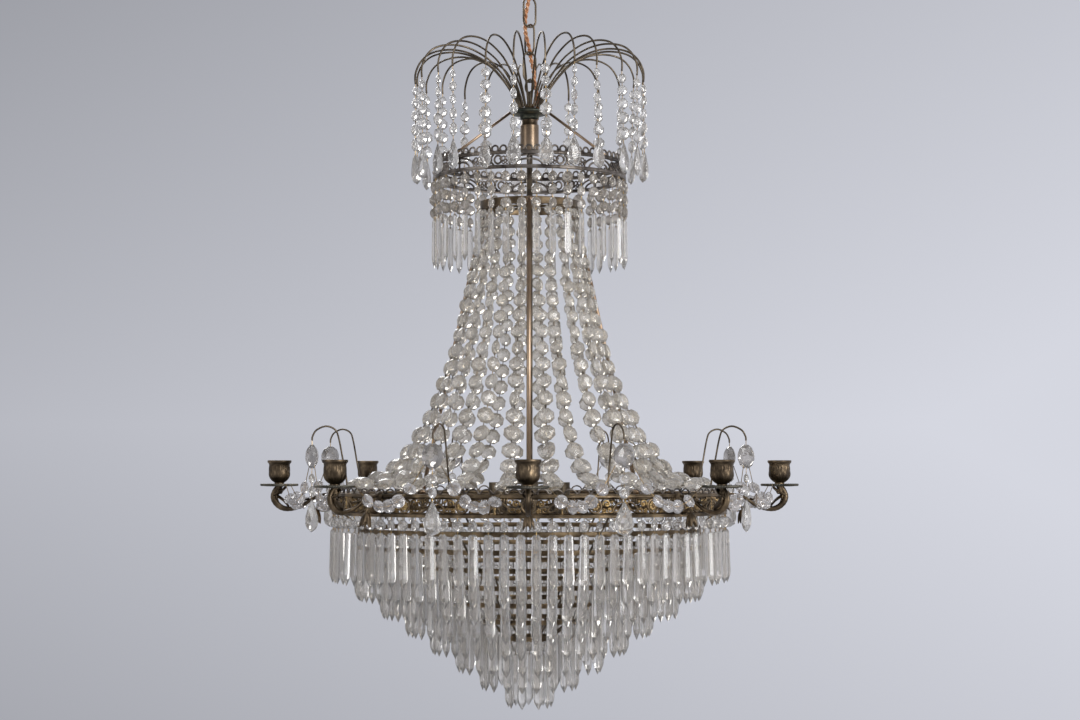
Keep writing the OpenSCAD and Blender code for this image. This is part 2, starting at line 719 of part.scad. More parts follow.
// A cup as round as a tulip, with a lip, over a narrow foot.
// Its wall is at least cup_wall thick beside the candle
cup_wall = 2;
module candle_cups() {
    r = candle_d / 2;
    lip = cup_lip_d / 2;
    belly = r + cup_wall + 1.8;
    color("#7a5f35") ring_of(arm_n) translate([cup_axis_r, 0, cup_z]) rotate_extrude() polygon([
        [0, -cup_h], [7, -cup_h], [7, -cup_h + 1.5], [9.5, -cup_h + 3.5], [r + cup_wall, -candle_depth - 1],
        [belly, -candle_depth + 7], [belly, -11], [r + cup_wall + 0.8, -7], [r + cup_wall + 1.2, -5],
        [lip, -3], [lip, 0], [r, 0], [r, -candle_depth], [0, -candle_depth]]);
}

pan_t = 1.6;
module drip_pans() {
    r = pan_d / 2;
    color("#5a5238") ring_of(arm_n) translate([cup_axis_r, 0, pan_z]) rotate_extrude() polygon([
        [0, 0], [11, 0], [r * 0.75, -1.4], [r - 1.5, 0.6], [r, 0.6], [r, -1],
        [r * 0.75, -pan_t - 1.4], [12, -pan_t], [0, -pan_t]]);
}

// A spray wire leans out from the shelf, touches its bend and turns down over it
module spray_wires() {
    foot = [main_r - band_t / 2 - 7, shelf_z + seat];
    bend = [spray_hang_r - spray_bend_r, main_z + spray_rise - spray_bend_r];
    away = bend - foot;
    lean = atan2(away.x, away.y) - asin(spray_bend_r / norm(away));
    start = bend + spray_bend_r * [-cos(lean), sin(lean)];
    color("#54442f") ring_of(arm_n, arm_step / 2) {
        bar([foot.x, 0, foot.y], [start.x, 0, start.y], spray_wire);
        translate([start.x, 0, start.y]) sphere(d = spray_wire + 0.8);
        arc_rod(bend.x, bend.y, spray_bend_r, 0, 180 - lean, spray_wire);
    }
}

spray_tip_z = main_z + spray_rise - spray_bend_r;
crystal_z = spray_tip_z - seat - 5 - plate_crystal_d / 2;
hinge_z = crystal_z - plate_crystal_d / 2 - 3.5;
module spray_plates() {
    color("#d9d2c6") ring_of(arm_n, arm_step / 2) {
        translate([spray_hang_r, 0, crystal_z]) rotate([0, 90, 0])
            cylinder(d = plate_crystal_d, h = 7, center = true, $fn = 48);
        translate([spray_hang_r, 0, hinge_z + 0.8 + seat]) cylinder(d = pin_d, h = spray_tip_z - seat - hinge_z - 0.8 - seat);
    }
}

// A swag runs from a crystal plate's flank to the nearest edge of the next drip pan
swag_out = plate_crystal_d / 2 + seat + pin_d / 2;
function swag_ends(side) = let (
    a = arm_step / 2,
    start = [spray_hang_r, side * swag_out * cos(45), crystal_z - swag_out * sin(45)],
    pan = [cup_axis_r * cos(a), side * cup_axis_r * sin(a), pan_z],
    across = [start.x - pan.x, start.y - pan.y, 0],
    reach = across / norm(across) * (pan_d / 2 + seat + pin_d / 2)) [start, pan + reach];
function swag_point(e, u) = lerp(e[0], e[1], u) - [0, 0, 4 * swag_sag * u * (1 - u)];

module swag(side) {
    e = swag_ends(side);
    // The beads crowd towards the ends, where the swag is steepest
    us = [for (i = [1 : swag_beads]) let (v = i / (swag_beads + 1)) v + 0.035 * sin(360 * v)];
    places = [for (u = us) swag_point(e, u)];
    line = concat([e[0]], places, [e[1]]);
    for (p = places) translate(p) sphere(d = swag_bead_d);
    for (i = [0 : len(line) - 2]) bar(line[i], line[i + 1], pin_d);
}

module swags() {
    color("#cdbfb6") ring_of(arm_n, arm_step / 2) for (side = [-1, 1]) swag(side);
}

module spray_pendant(i) {
    color("#d9d2c6") at_azimuth((i - 0.5) * arm_step) translate([spray_hang_r, 0, hinge_z]) {
        sphere(d = 1.6);
        bead_string(pendant_bead_first, pendant_bead_last, 2, pendant_pear_w, pendant_pear_len);
    }
}

ceiling_plate();
ceiling_hook();
canopy();
canopy_grip();
chain_link(1);  // chain_link_1
chain_link(2);  // chain_link_2
chain_link(3);  // chain_link_3
chain_link(4);  // chain_link_4
flex();
stem_eye();
stem_sleeve();
stem_rod();
collar();
collar_nut();
crown_wires();
crown_strings();
upper_struts();
upper_bands();
upper_frieze();
upper_fringe();
strand_ring();
suspension_rods();
bead_strands();
lamp_cluster();
main_bands();
main_frieze();
gallery_scallops();
spider();
basket_rings();
basket_ribs();
tier_drops(1);  // tier_drops_1
tier_drops(2);  // tier_drops_2
tier_drops(3);  // tier_drops_3
tier_drops(4);  // tier_drops_4
tier_drops(5);  // tier_drops_5
tier_drops(6);  // tier_drops_6
tier_drops(7);  // tier_drops_7
tier_drops(8);  // tier_drops_8
candle_arm(1);  // candle_arm_1
candle_arm(2);  // candle_arm_2
candle_arm(3);  // candle_arm_3
candle_arm(4);  // candle_arm_4
candle_arm(5);  // candle_arm_5
candle_arm(6);  // candle_arm_6
candle_arm(7);  // candle_arm_7
candle_arm(8);  // candle_arm_8
candle_cups();
drip_pans();
spray_wires();
spray_plates();
swags();
spray_pendant(1);  // spray_pendant_1
spray_pendant(2);  // spray_pendant_2
spray_pendant(3);  // spray_pendant_3
spray_pendant(4);  // spray_pendant_4
spray_pendant(5);  // spray_pendant_5
spray_pendant(6);  // spray_pendant_6
spray_pendant(7);  // spray_pendant_7
spray_pendant(8);  // spray_pendant_8
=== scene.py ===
# %% [markdown]
# A crystal chandelier, dressed piece by piece.
# The frame already holds every piece at its real size, with the joints of the chain and the pendants.
# This lesson gives the frame its looks: cut crystal, bent wire, pierced and cast brass.
# Everything is in metres, the ceiling is at zero, and the front is -Y.

import bpy
import numpy as np
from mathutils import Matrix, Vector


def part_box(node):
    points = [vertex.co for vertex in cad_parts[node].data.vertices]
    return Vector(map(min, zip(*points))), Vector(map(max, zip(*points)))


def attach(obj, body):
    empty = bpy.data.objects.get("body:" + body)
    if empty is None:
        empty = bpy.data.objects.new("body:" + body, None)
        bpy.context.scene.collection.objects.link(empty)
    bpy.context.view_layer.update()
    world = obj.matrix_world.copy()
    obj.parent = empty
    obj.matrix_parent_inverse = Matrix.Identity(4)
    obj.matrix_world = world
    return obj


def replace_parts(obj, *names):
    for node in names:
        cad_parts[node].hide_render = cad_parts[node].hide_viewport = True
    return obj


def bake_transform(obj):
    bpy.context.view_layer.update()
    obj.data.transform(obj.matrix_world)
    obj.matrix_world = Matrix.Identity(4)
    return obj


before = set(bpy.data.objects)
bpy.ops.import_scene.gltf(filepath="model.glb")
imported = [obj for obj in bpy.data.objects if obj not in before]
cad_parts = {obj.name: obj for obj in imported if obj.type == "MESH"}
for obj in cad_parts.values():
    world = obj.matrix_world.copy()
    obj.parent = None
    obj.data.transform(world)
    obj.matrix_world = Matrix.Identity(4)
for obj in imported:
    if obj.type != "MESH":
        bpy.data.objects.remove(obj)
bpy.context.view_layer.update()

MM = 0.001
TURN = 2 * np.pi
chance = np.random.default_rng(7)

# %% [markdown]
# The camera comes first. The galleries are circles that look flatter or rounder with their height, which
# gives the height of the lens and its distance. The lens looks up a little, as the photograph does.

# %% Camera
PHOTO_W = 1080
PHOTO_H = 720
AXIS_X = 529.5
EYE_Y = 467
CEILING_ABOVE = 60
LENS_PIXELS = 2050
PIXEL = 1.45 * MM

camera = bpy.data.objects.new("camera", bpy.data.cameras.new("camera"))
camera.data.sensor_width = 36
camera.data.lens = camera.data.sensor_width * LENS_PIXELS / PHOTO_W
camera.location = ((PHOTO_W / 2 - AXIS_X) * PIXEL, -LENS_PIXELS * PIXEL, -(EYE_Y + CEILING_ABOVE) * PIXEL)
camera.rotation_euler = (np.pi / 2 + np.arctan((EYE_Y - PHOTO_H / 2) / LENS_PIXELS), 0, 0)
bpy.context.scene.collection.objects.link(camera)
bpy.context.scene.camera = camera
bpy.context.scene.view_settings.view_transform = "Standard"
print("camera", round(-camera.location.y, 2), "m away, lens", round(camera.data.lens, 1), "mm")

# %% [markdown]
# Surfaces are worked out as whole arrays. A shape is a pair: points, and faces that index them. A face has
# four corners, and a triangle has -1 as its fourth, so that one array holds both.

# %% Faces of a grid
def grid_faces(rows, cols, close_cols=True):
    """Quads between the neighbours of a rows x cols grid of points. The columns may wrap round."""
    row, col = np.meshgrid(np.arange(rows - 1), np.arange(cols if close_cols else cols - 1), indexing="ij")
    beside = (col + 1) % cols
    corners = [row * cols + col, row * cols + beside, (row + 1) * cols + beside, (row + 1) * cols + col]
    return np.stack(corners, -1).reshape(-1, 4)


def fan(first, count, flip=False):
    """An even number of points on one flat outline, filled with quads that share the first point."""
    start = np.arange(1, count - 2, 2)
    faces = first + np.stack([0 * start, start, start + 1, start + 2], -1)
    return faces[:, ::-1] if flip else faces


def joined(*shapes):
    """Several shapes as one: the points in a row, the faces moved along with them."""
    shifts = np.cumsum([0] + [len(points) for points, _ in shapes[:-1]])
    faces = [np.where(f < 0, -1, f + shift) for (_, f), shift in zip(shapes, shifts)]
    return np.concatenate([points for points, _ in shapes]), np.concatenate(faces)


def flipped(faces):
    """The same faces, seen from their other side."""
    turned = faces[:, ::-1].copy()
    triangles = faces[:, 3] < 0
    turned[triangles] = faces[triangles][:, [2, 1, 0, 3]]
    return turned


def facing_out(points, faces):
    """Turns each face of a convex shape so that its normal points away from the shape's middle."""
    corner = points[faces[:, :3]]
    normal = np.cross(corner[:, 1] - corner[:, 0], corner[:, 2] - corner[:, 0])
    wrong = (normal * (corner.mean(1) - points.mean(0))).sum(1) < 0
    return points, np.where(wrong[:, None], flipped(faces), faces)


# %% Turning and copying
def turns_at(azimuths):
    """Rotations that send X outwards at each azimuth in degrees. Azimuth 0 is -Y and 90 is +X."""
    a = np.radians(np.atleast_1d(azimuths).astype(float) - 90)
    zero, one = 0 * a, 0 * a + 1
    rows = [[np.cos(a), -np.sin(a), zero], [np.sin(a), np.cos(a), zero], [zero, zero, one]]
    return np.moveaxis(np.array(rows), -1, 0)


def spin(degrees, axis):
    """Rotations about one of the own axes of a piece, 0 for X, 1 for Y, 2 for Z."""
    a = np.radians(np.atleast_1d(degrees).astype(float))
    out = np.zeros((len(a), 3, 3))
    i, j = [(1, 2), (2, 0), (0, 1)][axis]
    out[:, axis, axis] = 1
    out[:, i, i] = out[:, j, j] = np.cos(a)
    out[:, i, j] = -np.sin(a)
    out[:, j, i] = np.sin(a)
    return out


def copies(shape, turns, places, sizes=1.0):
    """Many copies of one shape: each is scaled, turned by its matrix and moved to its place."""
    points, faces = shape
    sizes = np.broadcast_to(np.asarray(sizes, float).reshape(-1, 1, 1), (len(places), 1, 1))
    moved = np.einsum("nij,nkj->nki", turns, points[None] * sizes) + np.asarray(places)[:, None]
    shift = np.arange(len(places))[:, None, None] * len(points)
    return moved.reshape(-1, 3), np.where(faces[None] < 0, -1, faces[None] + shift).reshape(-1, 4)


def round_the_stem(shape, azimuths):
    """A copy of the shape at each azimuth, turned about the stem."""
    return copies(shape, turns_at(azimuths), np.zeros((len(azimuths), 3)))


def moved(shape, turn, place):
    """One copy of a shape, turned by a matrix and moved."""
    return shape[0] @ np.asarray(turn).T + np.asarray(place), shape[1]


def around(radius, azimuths, z):
    """Points on a circle about the stem, one for each azimuth."""
    a = np.radians(np.asarray(azimuths, float))
    return np.stack([radius * np.sin(a), -radius * np.cos(a), z + 0 * a], -1)


def evenly(count):
    """Azimuths of so many places all round, the first of them half a step off the front."""
    return (np.arange(count) + 0.5) * 360 / count


def upright(line):
    """A flat line of (outwards, upwards) points, stood up in the XZ plane."""
    return np.stack([line[:, 0], 0 * line[:, 0], line[:, 1]], -1)


# %% From arrays to an object
def make_piece(name, shape, material, body, smooth=True, shades=None):
    """Writes the arrays into a mesh, and names its body, its finish and, per point, its own shade."""
    points, faces = shape
    used = faces >= 0
    mesh = bpy.data.meshes.new(name)
    mesh.vertices.add(len(points))
    mesh.vertices.foreach_set("co", points.astype(np.float32).ravel())
    mesh.loops.add(int(used.sum()))
    mesh.loops.foreach_set("vertex_index", faces[used].astype(np.int32))
    mesh.polygons.add(len(faces))
    firsts = np.concatenate([[0], np.cumsum(used.sum(1))[:-1]])
    mesh.polygons.foreach_set("loop_start", firsts.astype(np.int32))
    mesh.polygons.foreach_set("use_smooth", np.full(len(faces), smooth))
    mesh.update(calc_edges=True)
    if shades is not None:
        shade = mesh.attributes.new("shade", "FLOAT", "POINT")
        shade.data.foreach_set("value", shades.astype(np.float32))
    mesh.materials.append(material)
    piece = bpy.data.objects.new(name, mesh)
    bpy.context.scene.collection.objects.link(piece)
    if body:
        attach(piece, body)
    print(name, len(points), "points,", len(faces), "faces")
    return piece


def refinish(node, finish):
    """Gives a finish to a node that keeps its own mesh."""
    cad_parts[node].data.materials.clear()
    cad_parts[node].data.materials.append(finish)


# %% [markdown]
# Three helpers make nearly all the metal: a profile that turns about the stem, a wire along a path, and a
# smooth path through a few points that were measured.

# %% Turned profiles, wires and smooth paths
def revolved(profile, sides=96):
    """A profile of (radius, height) pairs turned about Z. A radius of zero closes the surface in a pole.
    Twice the profile's area, the sum of r z' - r' z, tells by its sign which way round its faces go."""
    profile = np.asarray(profile, float)
    following = np.roll(profile, -1, axis=0)
    area = (profile[:, 0] * following[:, 1] - following[:, 0] * profile[:, 1]).sum()
    a = np.arange(sides) * TURN / sides
    rings = np.stack([profile[:, :1] * np.cos(a), profile[:, :1] * np.sin(a),
                      profile[:, 1:] + 0 * a[None]], -1)
    faces = grid_faces(len(profile), sides)
    return rings.reshape(-1, 3), faces if area > 0 else faces[:, ::-1]


def smooth_path(points, count):
    """A Catmull-Rom curve through the points: each stretch is a cubic set by its four nearest points."""
    p = np.asarray(points, float)
    p = np.concatenate([[2 * p[0] - p[1]], p, [2 * p[-1] - p[-2]]])
    # The last point is kept just inside the last stretch
    t = np.linspace(0, len(p) - 3 - 1e-9, count)
    i = t.astype(int)
    u = (t - i)[:, None]
    a, b, c, d = p[i], p[i + 1], p[i + 2], p[i + 3]
    square, cube = 2 * a - 5 * b + 4 * c - d, 3 * b - a - 3 * c + d
    return 0.5 * (2 * b + (c - a) * u + square * u ** 2 + cube * u ** 3)


def wire(path, radius, across=(0, 1, 0), sides=8, flat=1.0):
    """A tube along a path: each ring lies square to the path. Its radius may change along the way, and
    flat squeezes it in the direction of across."""
    path = np.asarray(path, float)
    along = np.gradient(path, axis=0)
    along /= np.linalg.norm(along, axis=1, keepdims=True)
    up = np.cross(along, np.asarray(across, float))
    up /= np.linalg.norm(up, axis=1, keepdims=True)
    side = np.cross(up, along)
    a = np.arange(sides) * TURN / sides
    size = np.broadcast_to(np.asarray(radius, float), (len(path),))[:, None, None]
    rings = path[:, None] + size * (np.cos(a)[None, :, None] * up[:, None]
                                    + flat * np.sin(a)[None, :, None] * side[:, None])
    last = (len(path) - 1) * sides
    faces = np.concatenate([grid_faces(len(path), sides)[:, ::-1], fan(0, sides), fan(last, sides, True)])
    return rings.reshape(-1, 3), faces


def rods(starts, ends, radius, sides=6):
    """Many straight thin bars at once, from each start to its end, each closed by flat ends."""
    starts, ends = np.asarray(starts, float), np.asarray(ends, float)
    along = ends - starts
    along /= np.linalg.norm(along, axis=1, keepdims=True)
    side = np.cross(along, [0.31, 0.52, 0.79])
    side /= np.linalg.norm(side, axis=1, keepdims=True)
    up = np.cross(along, side)
    a = np.arange(sides) * TURN / sides
    circle = np.cos(a)[None, :, None] * side[:, None] + np.sin(a)[None, :, None] * up[:, None]
    points = np.stack([starts[:, None] + radius * circle, ends[:, None] + radius * circle], 1)
    one = np.concatenate([grid_faces(2, sides), fan(0, sides, True), fan(sides, sides)])
    shift = np.arange(len(starts))[:, None, None] * 2 * sides
    return points.reshape(-1, 3), (one[None] + shift).reshape(-1, 4)


# %% [markdown]
# Crystal is cut in rings of facets, from a flat table on the front to one on the back. A ring that is
# turned by half a step gives triangular facets, which glitter more than plain ones. Crystal keeps its
# hard edges, so it is never shaded smooth.

# %% Cut stones
def stone(rings, twisted):
    """Joins rings of equal size. A twisted gap has triangles, a plain one has quads. Both ends are flat."""
    count = len(rings[0])
    i = np.arange(count)
    j = (i + 1) % count
    faces = [fan(0, count), fan((len(rings) - 1) * count, count)]
    for k, twist in enumerate(twisted):
        a, b = k * count, (k + 1) * count
        if twist:
            faces.append(np.stack([a + i, a + j, b + i, 0 * i - 1], -1))
            faces.append(np.stack([b + i, a + j, b + j, 0 * i - 1], -1))
        else:
            faces.append(np.stack([a + i, a + j, b + j, b + i], -1))
    return facing_out(np.concatenate(rings), np.concatenate(faces))


def cut_bead(sides, depth, table):
    """A cut bead of width 1 in the YZ plane. Each side has a flat table with two rows of triangular facets
    round it, and a narrow girdle runs between the sides."""
    half = np.pi / sides
    levels = [(table, depth), (0.37, depth * 0.7), (0.5, depth * 0.12)]
    levels = levels + [(r, -x) for r, x in reversed(levels)]
    phases = [0, 1, 2, 2, 3, 4]
    rings = []
    for (radius, x), phase in zip(levels, phases):
        a = np.arange(sides) * TURN / sides + half * (1 + phase)
        rings.append(np.stack([x + 0 * a, radius * np.cos(a), radius * np.sin(a)], -1))
    return stone(rings, [True, True, False, True, True])


def cut_prism(depth, front):
    """A spear prism of length 1 and width 1 below the point it hangs from. Depth is half its thickness, and
    front is half the width of its front side. It is widest low down and then runs to a point."""
    section = np.array([[depth, front], [0.10, 0.5], [-0.10, 0.5], [-depth, front],
                        [-depth, -front], [-0.10, -0.5], [0.10, -0.5], [depth, -front]])
    levels = [(0.0, 0.40), (-0.035, 0.84), (-0.45, 0.92), (-0.80, 1.0), (-0.87, 0.86), (-1.0, 0.05)]
    rings = [np.column_stack([section * scale, np.full(8, z)]) for z, scale in levels]
    return stone(rings, [False] * 5)


def cut_pear(width, length, depth, sides=10):
    """A pear below the point it hangs from. Its outline is y = 0.65 sin t |sin(t/2)|^1.2, z = -(1 - cos t)/2,
    drawn in towards its heart for each ring of facets."""
    rings = []
    heart = -0.62
    levels = [(0.50, depth), (0.78, depth * 0.68), (1.0, depth * 0.1)]
    levels = levels + [(s, -x) for s, x in reversed(levels)]
    for (scale, x), phase in zip(levels, [0, 1, 2, 2, 3, 4]):
        t = (np.arange(sides) + phase / 2) * TURN / sides
        y = 0.65 * np.sin(t) * np.abs(np.sin(t / 2)) ** 1.2
        z = -(1 - np.cos(t)) / 2
        rings.append(np.stack([x + 0 * t, width * scale * y, length * (heart + scale * (z - heart))], -1))
    return stone(rings, [True, True, False, True, True])


octagon = cut_bead(8, 0.25, 0.17)
rosette = cut_bead(10, 0.30, 0.12)
prism = cut_prism(0.33, 0.17)
broad_prism = cut_prism(0.33, 0.25)
print("an octagon has", len(octagon[1]), "facets, a prism", len(prism[1]))


# %% A batch of stones that share one mesh
class Batch:
    """Copies of several shapes in one mesh, each stone with a shade of its own."""

    def __init__(self):
        self.shapes = []
        self.shades = []

    def add(self, shape, turns, places, sizes=1.0):
        self.shapes.append(copies(shape, turns, places, sizes))
        self.shades.append(np.repeat(chance.random(len(places)), len(shape[0])))

    def piece(self, name, material, body, slot):
        shades = np.concatenate(self.shades)
        return make_piece(name, joined(*self.shapes), material, body, False, shades)


def stretched(shape, x, y, z):
    """The same shape with its three axes stretched."""
    return shape[0] * np.array([x, y, z]), shape[1]


# %% [markdown]
# Light and background. A studio wall would hide the chandelier from behind, so the pale backdrop is the
# world itself: a soft grey, lightest at eye level and growing lighter to the right, as in the photograph. A
# tall soft light on the right gives the white glints, and a weaker one on the left opens the shadows. The
# floor is far below, round and plain, and glows a little, so that it stays even under the lamps.

# %% World
world = bpy.data.worlds.new("studio")
world.use_nodes = True
bpy.context.scene.world = world
sky = world.node_tree


def sky_math(operation, *values):
    """One sum on the direction's parts. Each value is a number or another node's output."""
    node = sky.nodes.new("ShaderNodeMath")
    node.operation = operation
    for socket, value in zip(node.inputs, values):
        if isinstance(value, (int, float)):
            socket.default_value = value
        else:
            sky.links.new(value, socket)
    return node.outputs[0]


# Light from a direction (x, y, z) is 0.60 + 0.43 x - 0.70 |z - 0.02|, held between 0.33 and 0.68
direction = sky.nodes.new("ShaderNodeTexCoord")
parts = sky.nodes.new("ShaderNodeSeparateXYZ")
sky.links.new(direction.outputs["Generated"], parts.inputs[0])
off_level = sky_math("ABSOLUTE", sky_math("SUBTRACT", parts.outputs["Z"], 0.02))
glow = sky_math("MULTIPLY_ADD", parts.outputs["X"], 0.43, 0.60)
glow = sky_math("MULTIPLY_ADD", off_level, -0.70, glow)
glow = sky_math("MINIMUM", sky_math("MAXIMUM", glow, 0.33), 0.68)
tint = sky.nodes.new("ShaderNodeVectorMath")
tint.operation = "SCALE"
tint.inputs[0].default_value = (0.98, 1.0, 1.10)
sky.links.new(glow, tint.inputs["Scale"])
sky.links.new(tint.outputs[0], sky.nodes["Background"].inputs[0])


# %% Lights and floor
def softbox(name, place, target, width, height, power):
    """A soft light that looks at a point and that the camera doesn't see."""
    light = bpy.data.objects.new(name, bpy.data.lights.new(name, "AREA"))
    light.data.shape = "RECTANGLE"
    light.data.size = width
    light.data.size_y = height
    light.data.energy = power
    light.location = place
    away = np.array(place, float) - np.array(target, float)
    light.rotation_euler = (np.arctan2(np.hypot(away[0], away[1]), away[2]), 0, np.arctan2(away[0], -away[1]))
    light.visible_camera = False
    bpy.context.scene.collection.objects.link(light)


BODY_MIDDLE = (0, 0, -0.62)
softbox("key_light", (1.9, -2.1, 0.3), BODY_MIDDLE, 1.0, 2.6, 54)
softbox("fill_light", (-2.3, -1.6, -0.2), BODY_MIDDLE, 1.0, 2.2, 13)
softbox("back_light", (-0.9, 2.4, 0.9), BODY_MIDDLE, 1.2, 1.2, 22)

FLOOR_Z = -3.0
FLOOR_R = 14.0
FLOOR_SIDES = 180
floor_material = bpy.data.materials.new("pale_floor")
floor_material.use_nodes = True
floor_shader = floor_material.node_tree.nodes["Principled BSDF"]
floor_shader.inputs["Base Color"].default_value = (0.14, 0.14, 0.15, 1)
floor_shader.inputs["Roughness"].default_value = 0.9
floor_shader.inputs["Emission Color"].default_value = (0.98, 1.0, 1.06, 1)
floor_shader.inputs["Emission Strength"].default_value = 0.36
floor_rim = around(FLOOR_R, np.arange(FLOOR_SIDES) * 360 / FLOOR_SIDES, FLOOR_Z)
floor_mesh = bpy.data.meshes.new("floor")
floor_mesh.from_pydata(floor_rim.tolist(), [], [list(range(FLOOR_SIDES))])
floor_mesh.materials.append(floor_material)
floor = bpy.data.objects.new("floor", floor_mesh)
bpy.context.scene.collection.objects.link(floor)


# %% [markdown]
# Metal. Old brass is never one colour: it is brown where it was never touched and gold where cloths and
# fingers rubbed it. A cloudy noise mixes the two, a finer one roughens it, and both are laid out in the
# piece's own coordinates so that they stay put when the piece moves.

# %% Metal materials
def noise(tree, scale, detail):
    """A noise on the piece's own coordinates."""
    place = tree.nodes.new("ShaderNodeTexCoord")
    texture = tree.nodes.new("ShaderNodeTexNoise")
    texture.inputs["Scale"].default_value = scale
    texture.inputs["Detail"].default_value = detail
    tree.links.new(place.outputs["Object"], texture.inputs["Vector"])
    return texture.outputs["Fac"]


def ramp(tree, value, stops):
    """A colour ramp through (position, colour) stops."""
    node = tree.nodes.new("ShaderNodeValToRGB")
    while len(node.color_ramp.elements) < len(stops):
        node.color_ramp.elements.new(0.5)
    for element, (position, colour) in zip(node.color_ramp.elements, stops):
        element.position = position
        element.color = (*colour, 1)
    tree.links.new(value, node.inputs[0])
    return node.outputs[0]


def span(tree, value, low, high):
    """Maps a noise, which lies mostly between 0.3 and 0.7, onto the range from low to high."""
    node = tree.nodes.new("ShaderNodeMapRange")
    for name, number in (("From Min", 0.3), ("From Max", 0.7), ("To Min", low), ("To Max", high)):
        node.inputs[name].default_value = number
    tree.links.new(value, node.inputs[0])
    return node.outputs[0]


def bump(tree, value, height):
    """Fine relief, height in metres."""
    node = tree.nodes.new("ShaderNodeBump")
    node.inputs["Strength"].default_value = 1.0
    node.inputs["Distance"].default_value = height
    tree.links.new(value, node.inputs["Height"])
    return node.outputs[0]


GRAIN_SCALE = 900.0
GRAIN_DEPTH = 0.06 * MM


def metal(name, deep, middle_tone, worn, rough, cloud=45.0):
    """Patinated metal: three tones by a cloudy noise, roughness and relief by a finer one."""
    material = bpy.data.materials.new(name)
    material.use_nodes = True
    tree = material.node_tree
    shader = tree.nodes["Principled BSDF"]
    shader.inputs["Metallic"].default_value = 1.0
    clouds = noise(tree, cloud, 6.0)
    tree.links.new(ramp(tree, clouds, [(0.36, deep), (0.52, middle_tone), (0.68, worn)]),
                   shader.inputs["Base Color"])
    grains = noise(tree, GRAIN_SCALE, 3.0)
    tree.links.new(span(tree, grains, *rough), shader.inputs["Roughness"])
    tree.links.new(bump(tree, grains, GRAIN_DEPTH), shader.inputs["Normal"])
    return material


zinc = metal("zinc_plate", (0.26, 0.26, 0.25), (0.38, 0.37, 0.35), (0.48, 0.47, 0.45), (0.3, 0.55))
bronze = metal("dark_bronze_wire", (0.07, 0.055, 0.04), (0.15, 0.12, 0.085), (0.31, 0.245, 0.17), (0.32, 0.5))
brass = metal("aged_brass", (0.09, 0.066, 0.042), (0.20, 0.148, 0.092), (0.40, 0.29, 0.17), (0.3, 0.5))
dark_brass = metal("dark_brass", (0.06, 0.044, 0.029), (0.13, 0.096, 0.062), (0.29, 0.212, 0.13),
                   (0.32, 0.52))
gilt = metal("worn_gilt", (0.10, 0.07, 0.038), (0.30, 0.205, 0.10), (0.62, 0.44, 0.20), (0.24, 0.44))
olive = metal("olive_patina", (0.06, 0.056, 0.045), (0.13, 0.12, 0.095), (0.25, 0.225, 0.175), (0.4, 0.6))
green_brass = metal("green_patina", (0.045, 0.05, 0.04), (0.095, 0.10, 0.078), (0.20, 0.18, 0.12),
                    (0.4, 0.6), 90.0)
silvery = metal("silvery_brown", (0.07, 0.058, 0.05), (0.19, 0.162, 0.136), (0.40, 0.355, 0.31), (0.28, 0.45))
sleeve_brass = metal("sleeve_brass", (0.18, 0.13, 0.085), (0.27, 0.20, 0.14), (0.38, 0.29, 0.20),
                     (0.26, 0.4), 18.0)
rod_brass = metal("rod_brass", (0.36, 0.25, 0.165), (0.47, 0.335, 0.225), (0.58, 0.43, 0.30),
                  (0.26, 0.4), 18.0)
metals = [zinc, bronze, brass, dark_brass, gilt, olive, green_brass, silvery, sleeve_brass, rod_brass]
print("metals", [m.name for m in metals])

# %% [markdown]
# Crystal. Clean glass would vanish against a pale wall. The real stones are old: a film of dust makes
# them slightly milky, their rims are yellower, and no two have the same tone. So the shader lets most of
# the light through and keeps a little for the film, and each stone reads its own shade.


# %% Crystal materials
def crystal(name, clear, dusty, through, rough):
    """Cut crystal with a film of dust: the tone runs from clear to dusty by the stone's own shade."""
    material = bpy.data.materials.new(name)
    material.use_nodes = True
    tree = material.node_tree
    shader = tree.nodes["Principled BSDF"]
    shader.inputs["IOR"].default_value = 1.54
    shader.inputs["Transmission Weight"].default_value = through
    own = tree.nodes.new("ShaderNodeAttribute")
    own.attribute_name = "shade"
    film = noise(tree, 160.0, 4.0)
    both = tree.nodes.new("ShaderNodeMath")
    both.operation = "MULTIPLY_ADD"
    both.inputs[1].default_value = 0.6
    tree.links.new(own.outputs["Fac"], both.inputs[0])
    tree.links.new(span(tree, film, 0.0, 0.4), both.inputs[2])
    tree.links.new(ramp(tree, both.outputs[0], [(0.1, clear), (0.9, dusty)]), shader.inputs["Base Color"])
    tree.links.new(span(tree, film, *rough), shader.inputs["Roughness"])
    return material


clear_crystal = crystal("clear_crystal", (0.95, 0.93, 0.90), (0.88, 0.845, 0.79), 0.86, (0.01, 0.10))
warm_crystal = crystal("warm_crystal", (0.90, 0.86, 0.79), (0.80, 0.745, 0.65), 0.80, (0.03, 0.16))
fringe_crystal = crystal("fringe_crystal", (0.74, 0.695, 0.635), (0.54, 0.485, 0.41), 0.80, (0.02, 0.12))
swag_crystal = crystal("swag_crystal", (0.93, 0.905, 0.885), (0.82, 0.785, 0.76), 0.82, (0.02, 0.14))
smoky_crystal = crystal("smoky_crystal", (0.68, 0.65, 0.62), (0.52, 0.49, 0.46), 0.84, (0.01, 0.08))
crystals = [clear_crystal, warm_crystal, fringe_crystal, swag_crystal, smoky_crystal]
print("crystals", [m.name for m in crystals])

# %% [markdown]
# Levels and radii come from the frame's nodes, so the dressed pieces sit where the plain ones do.

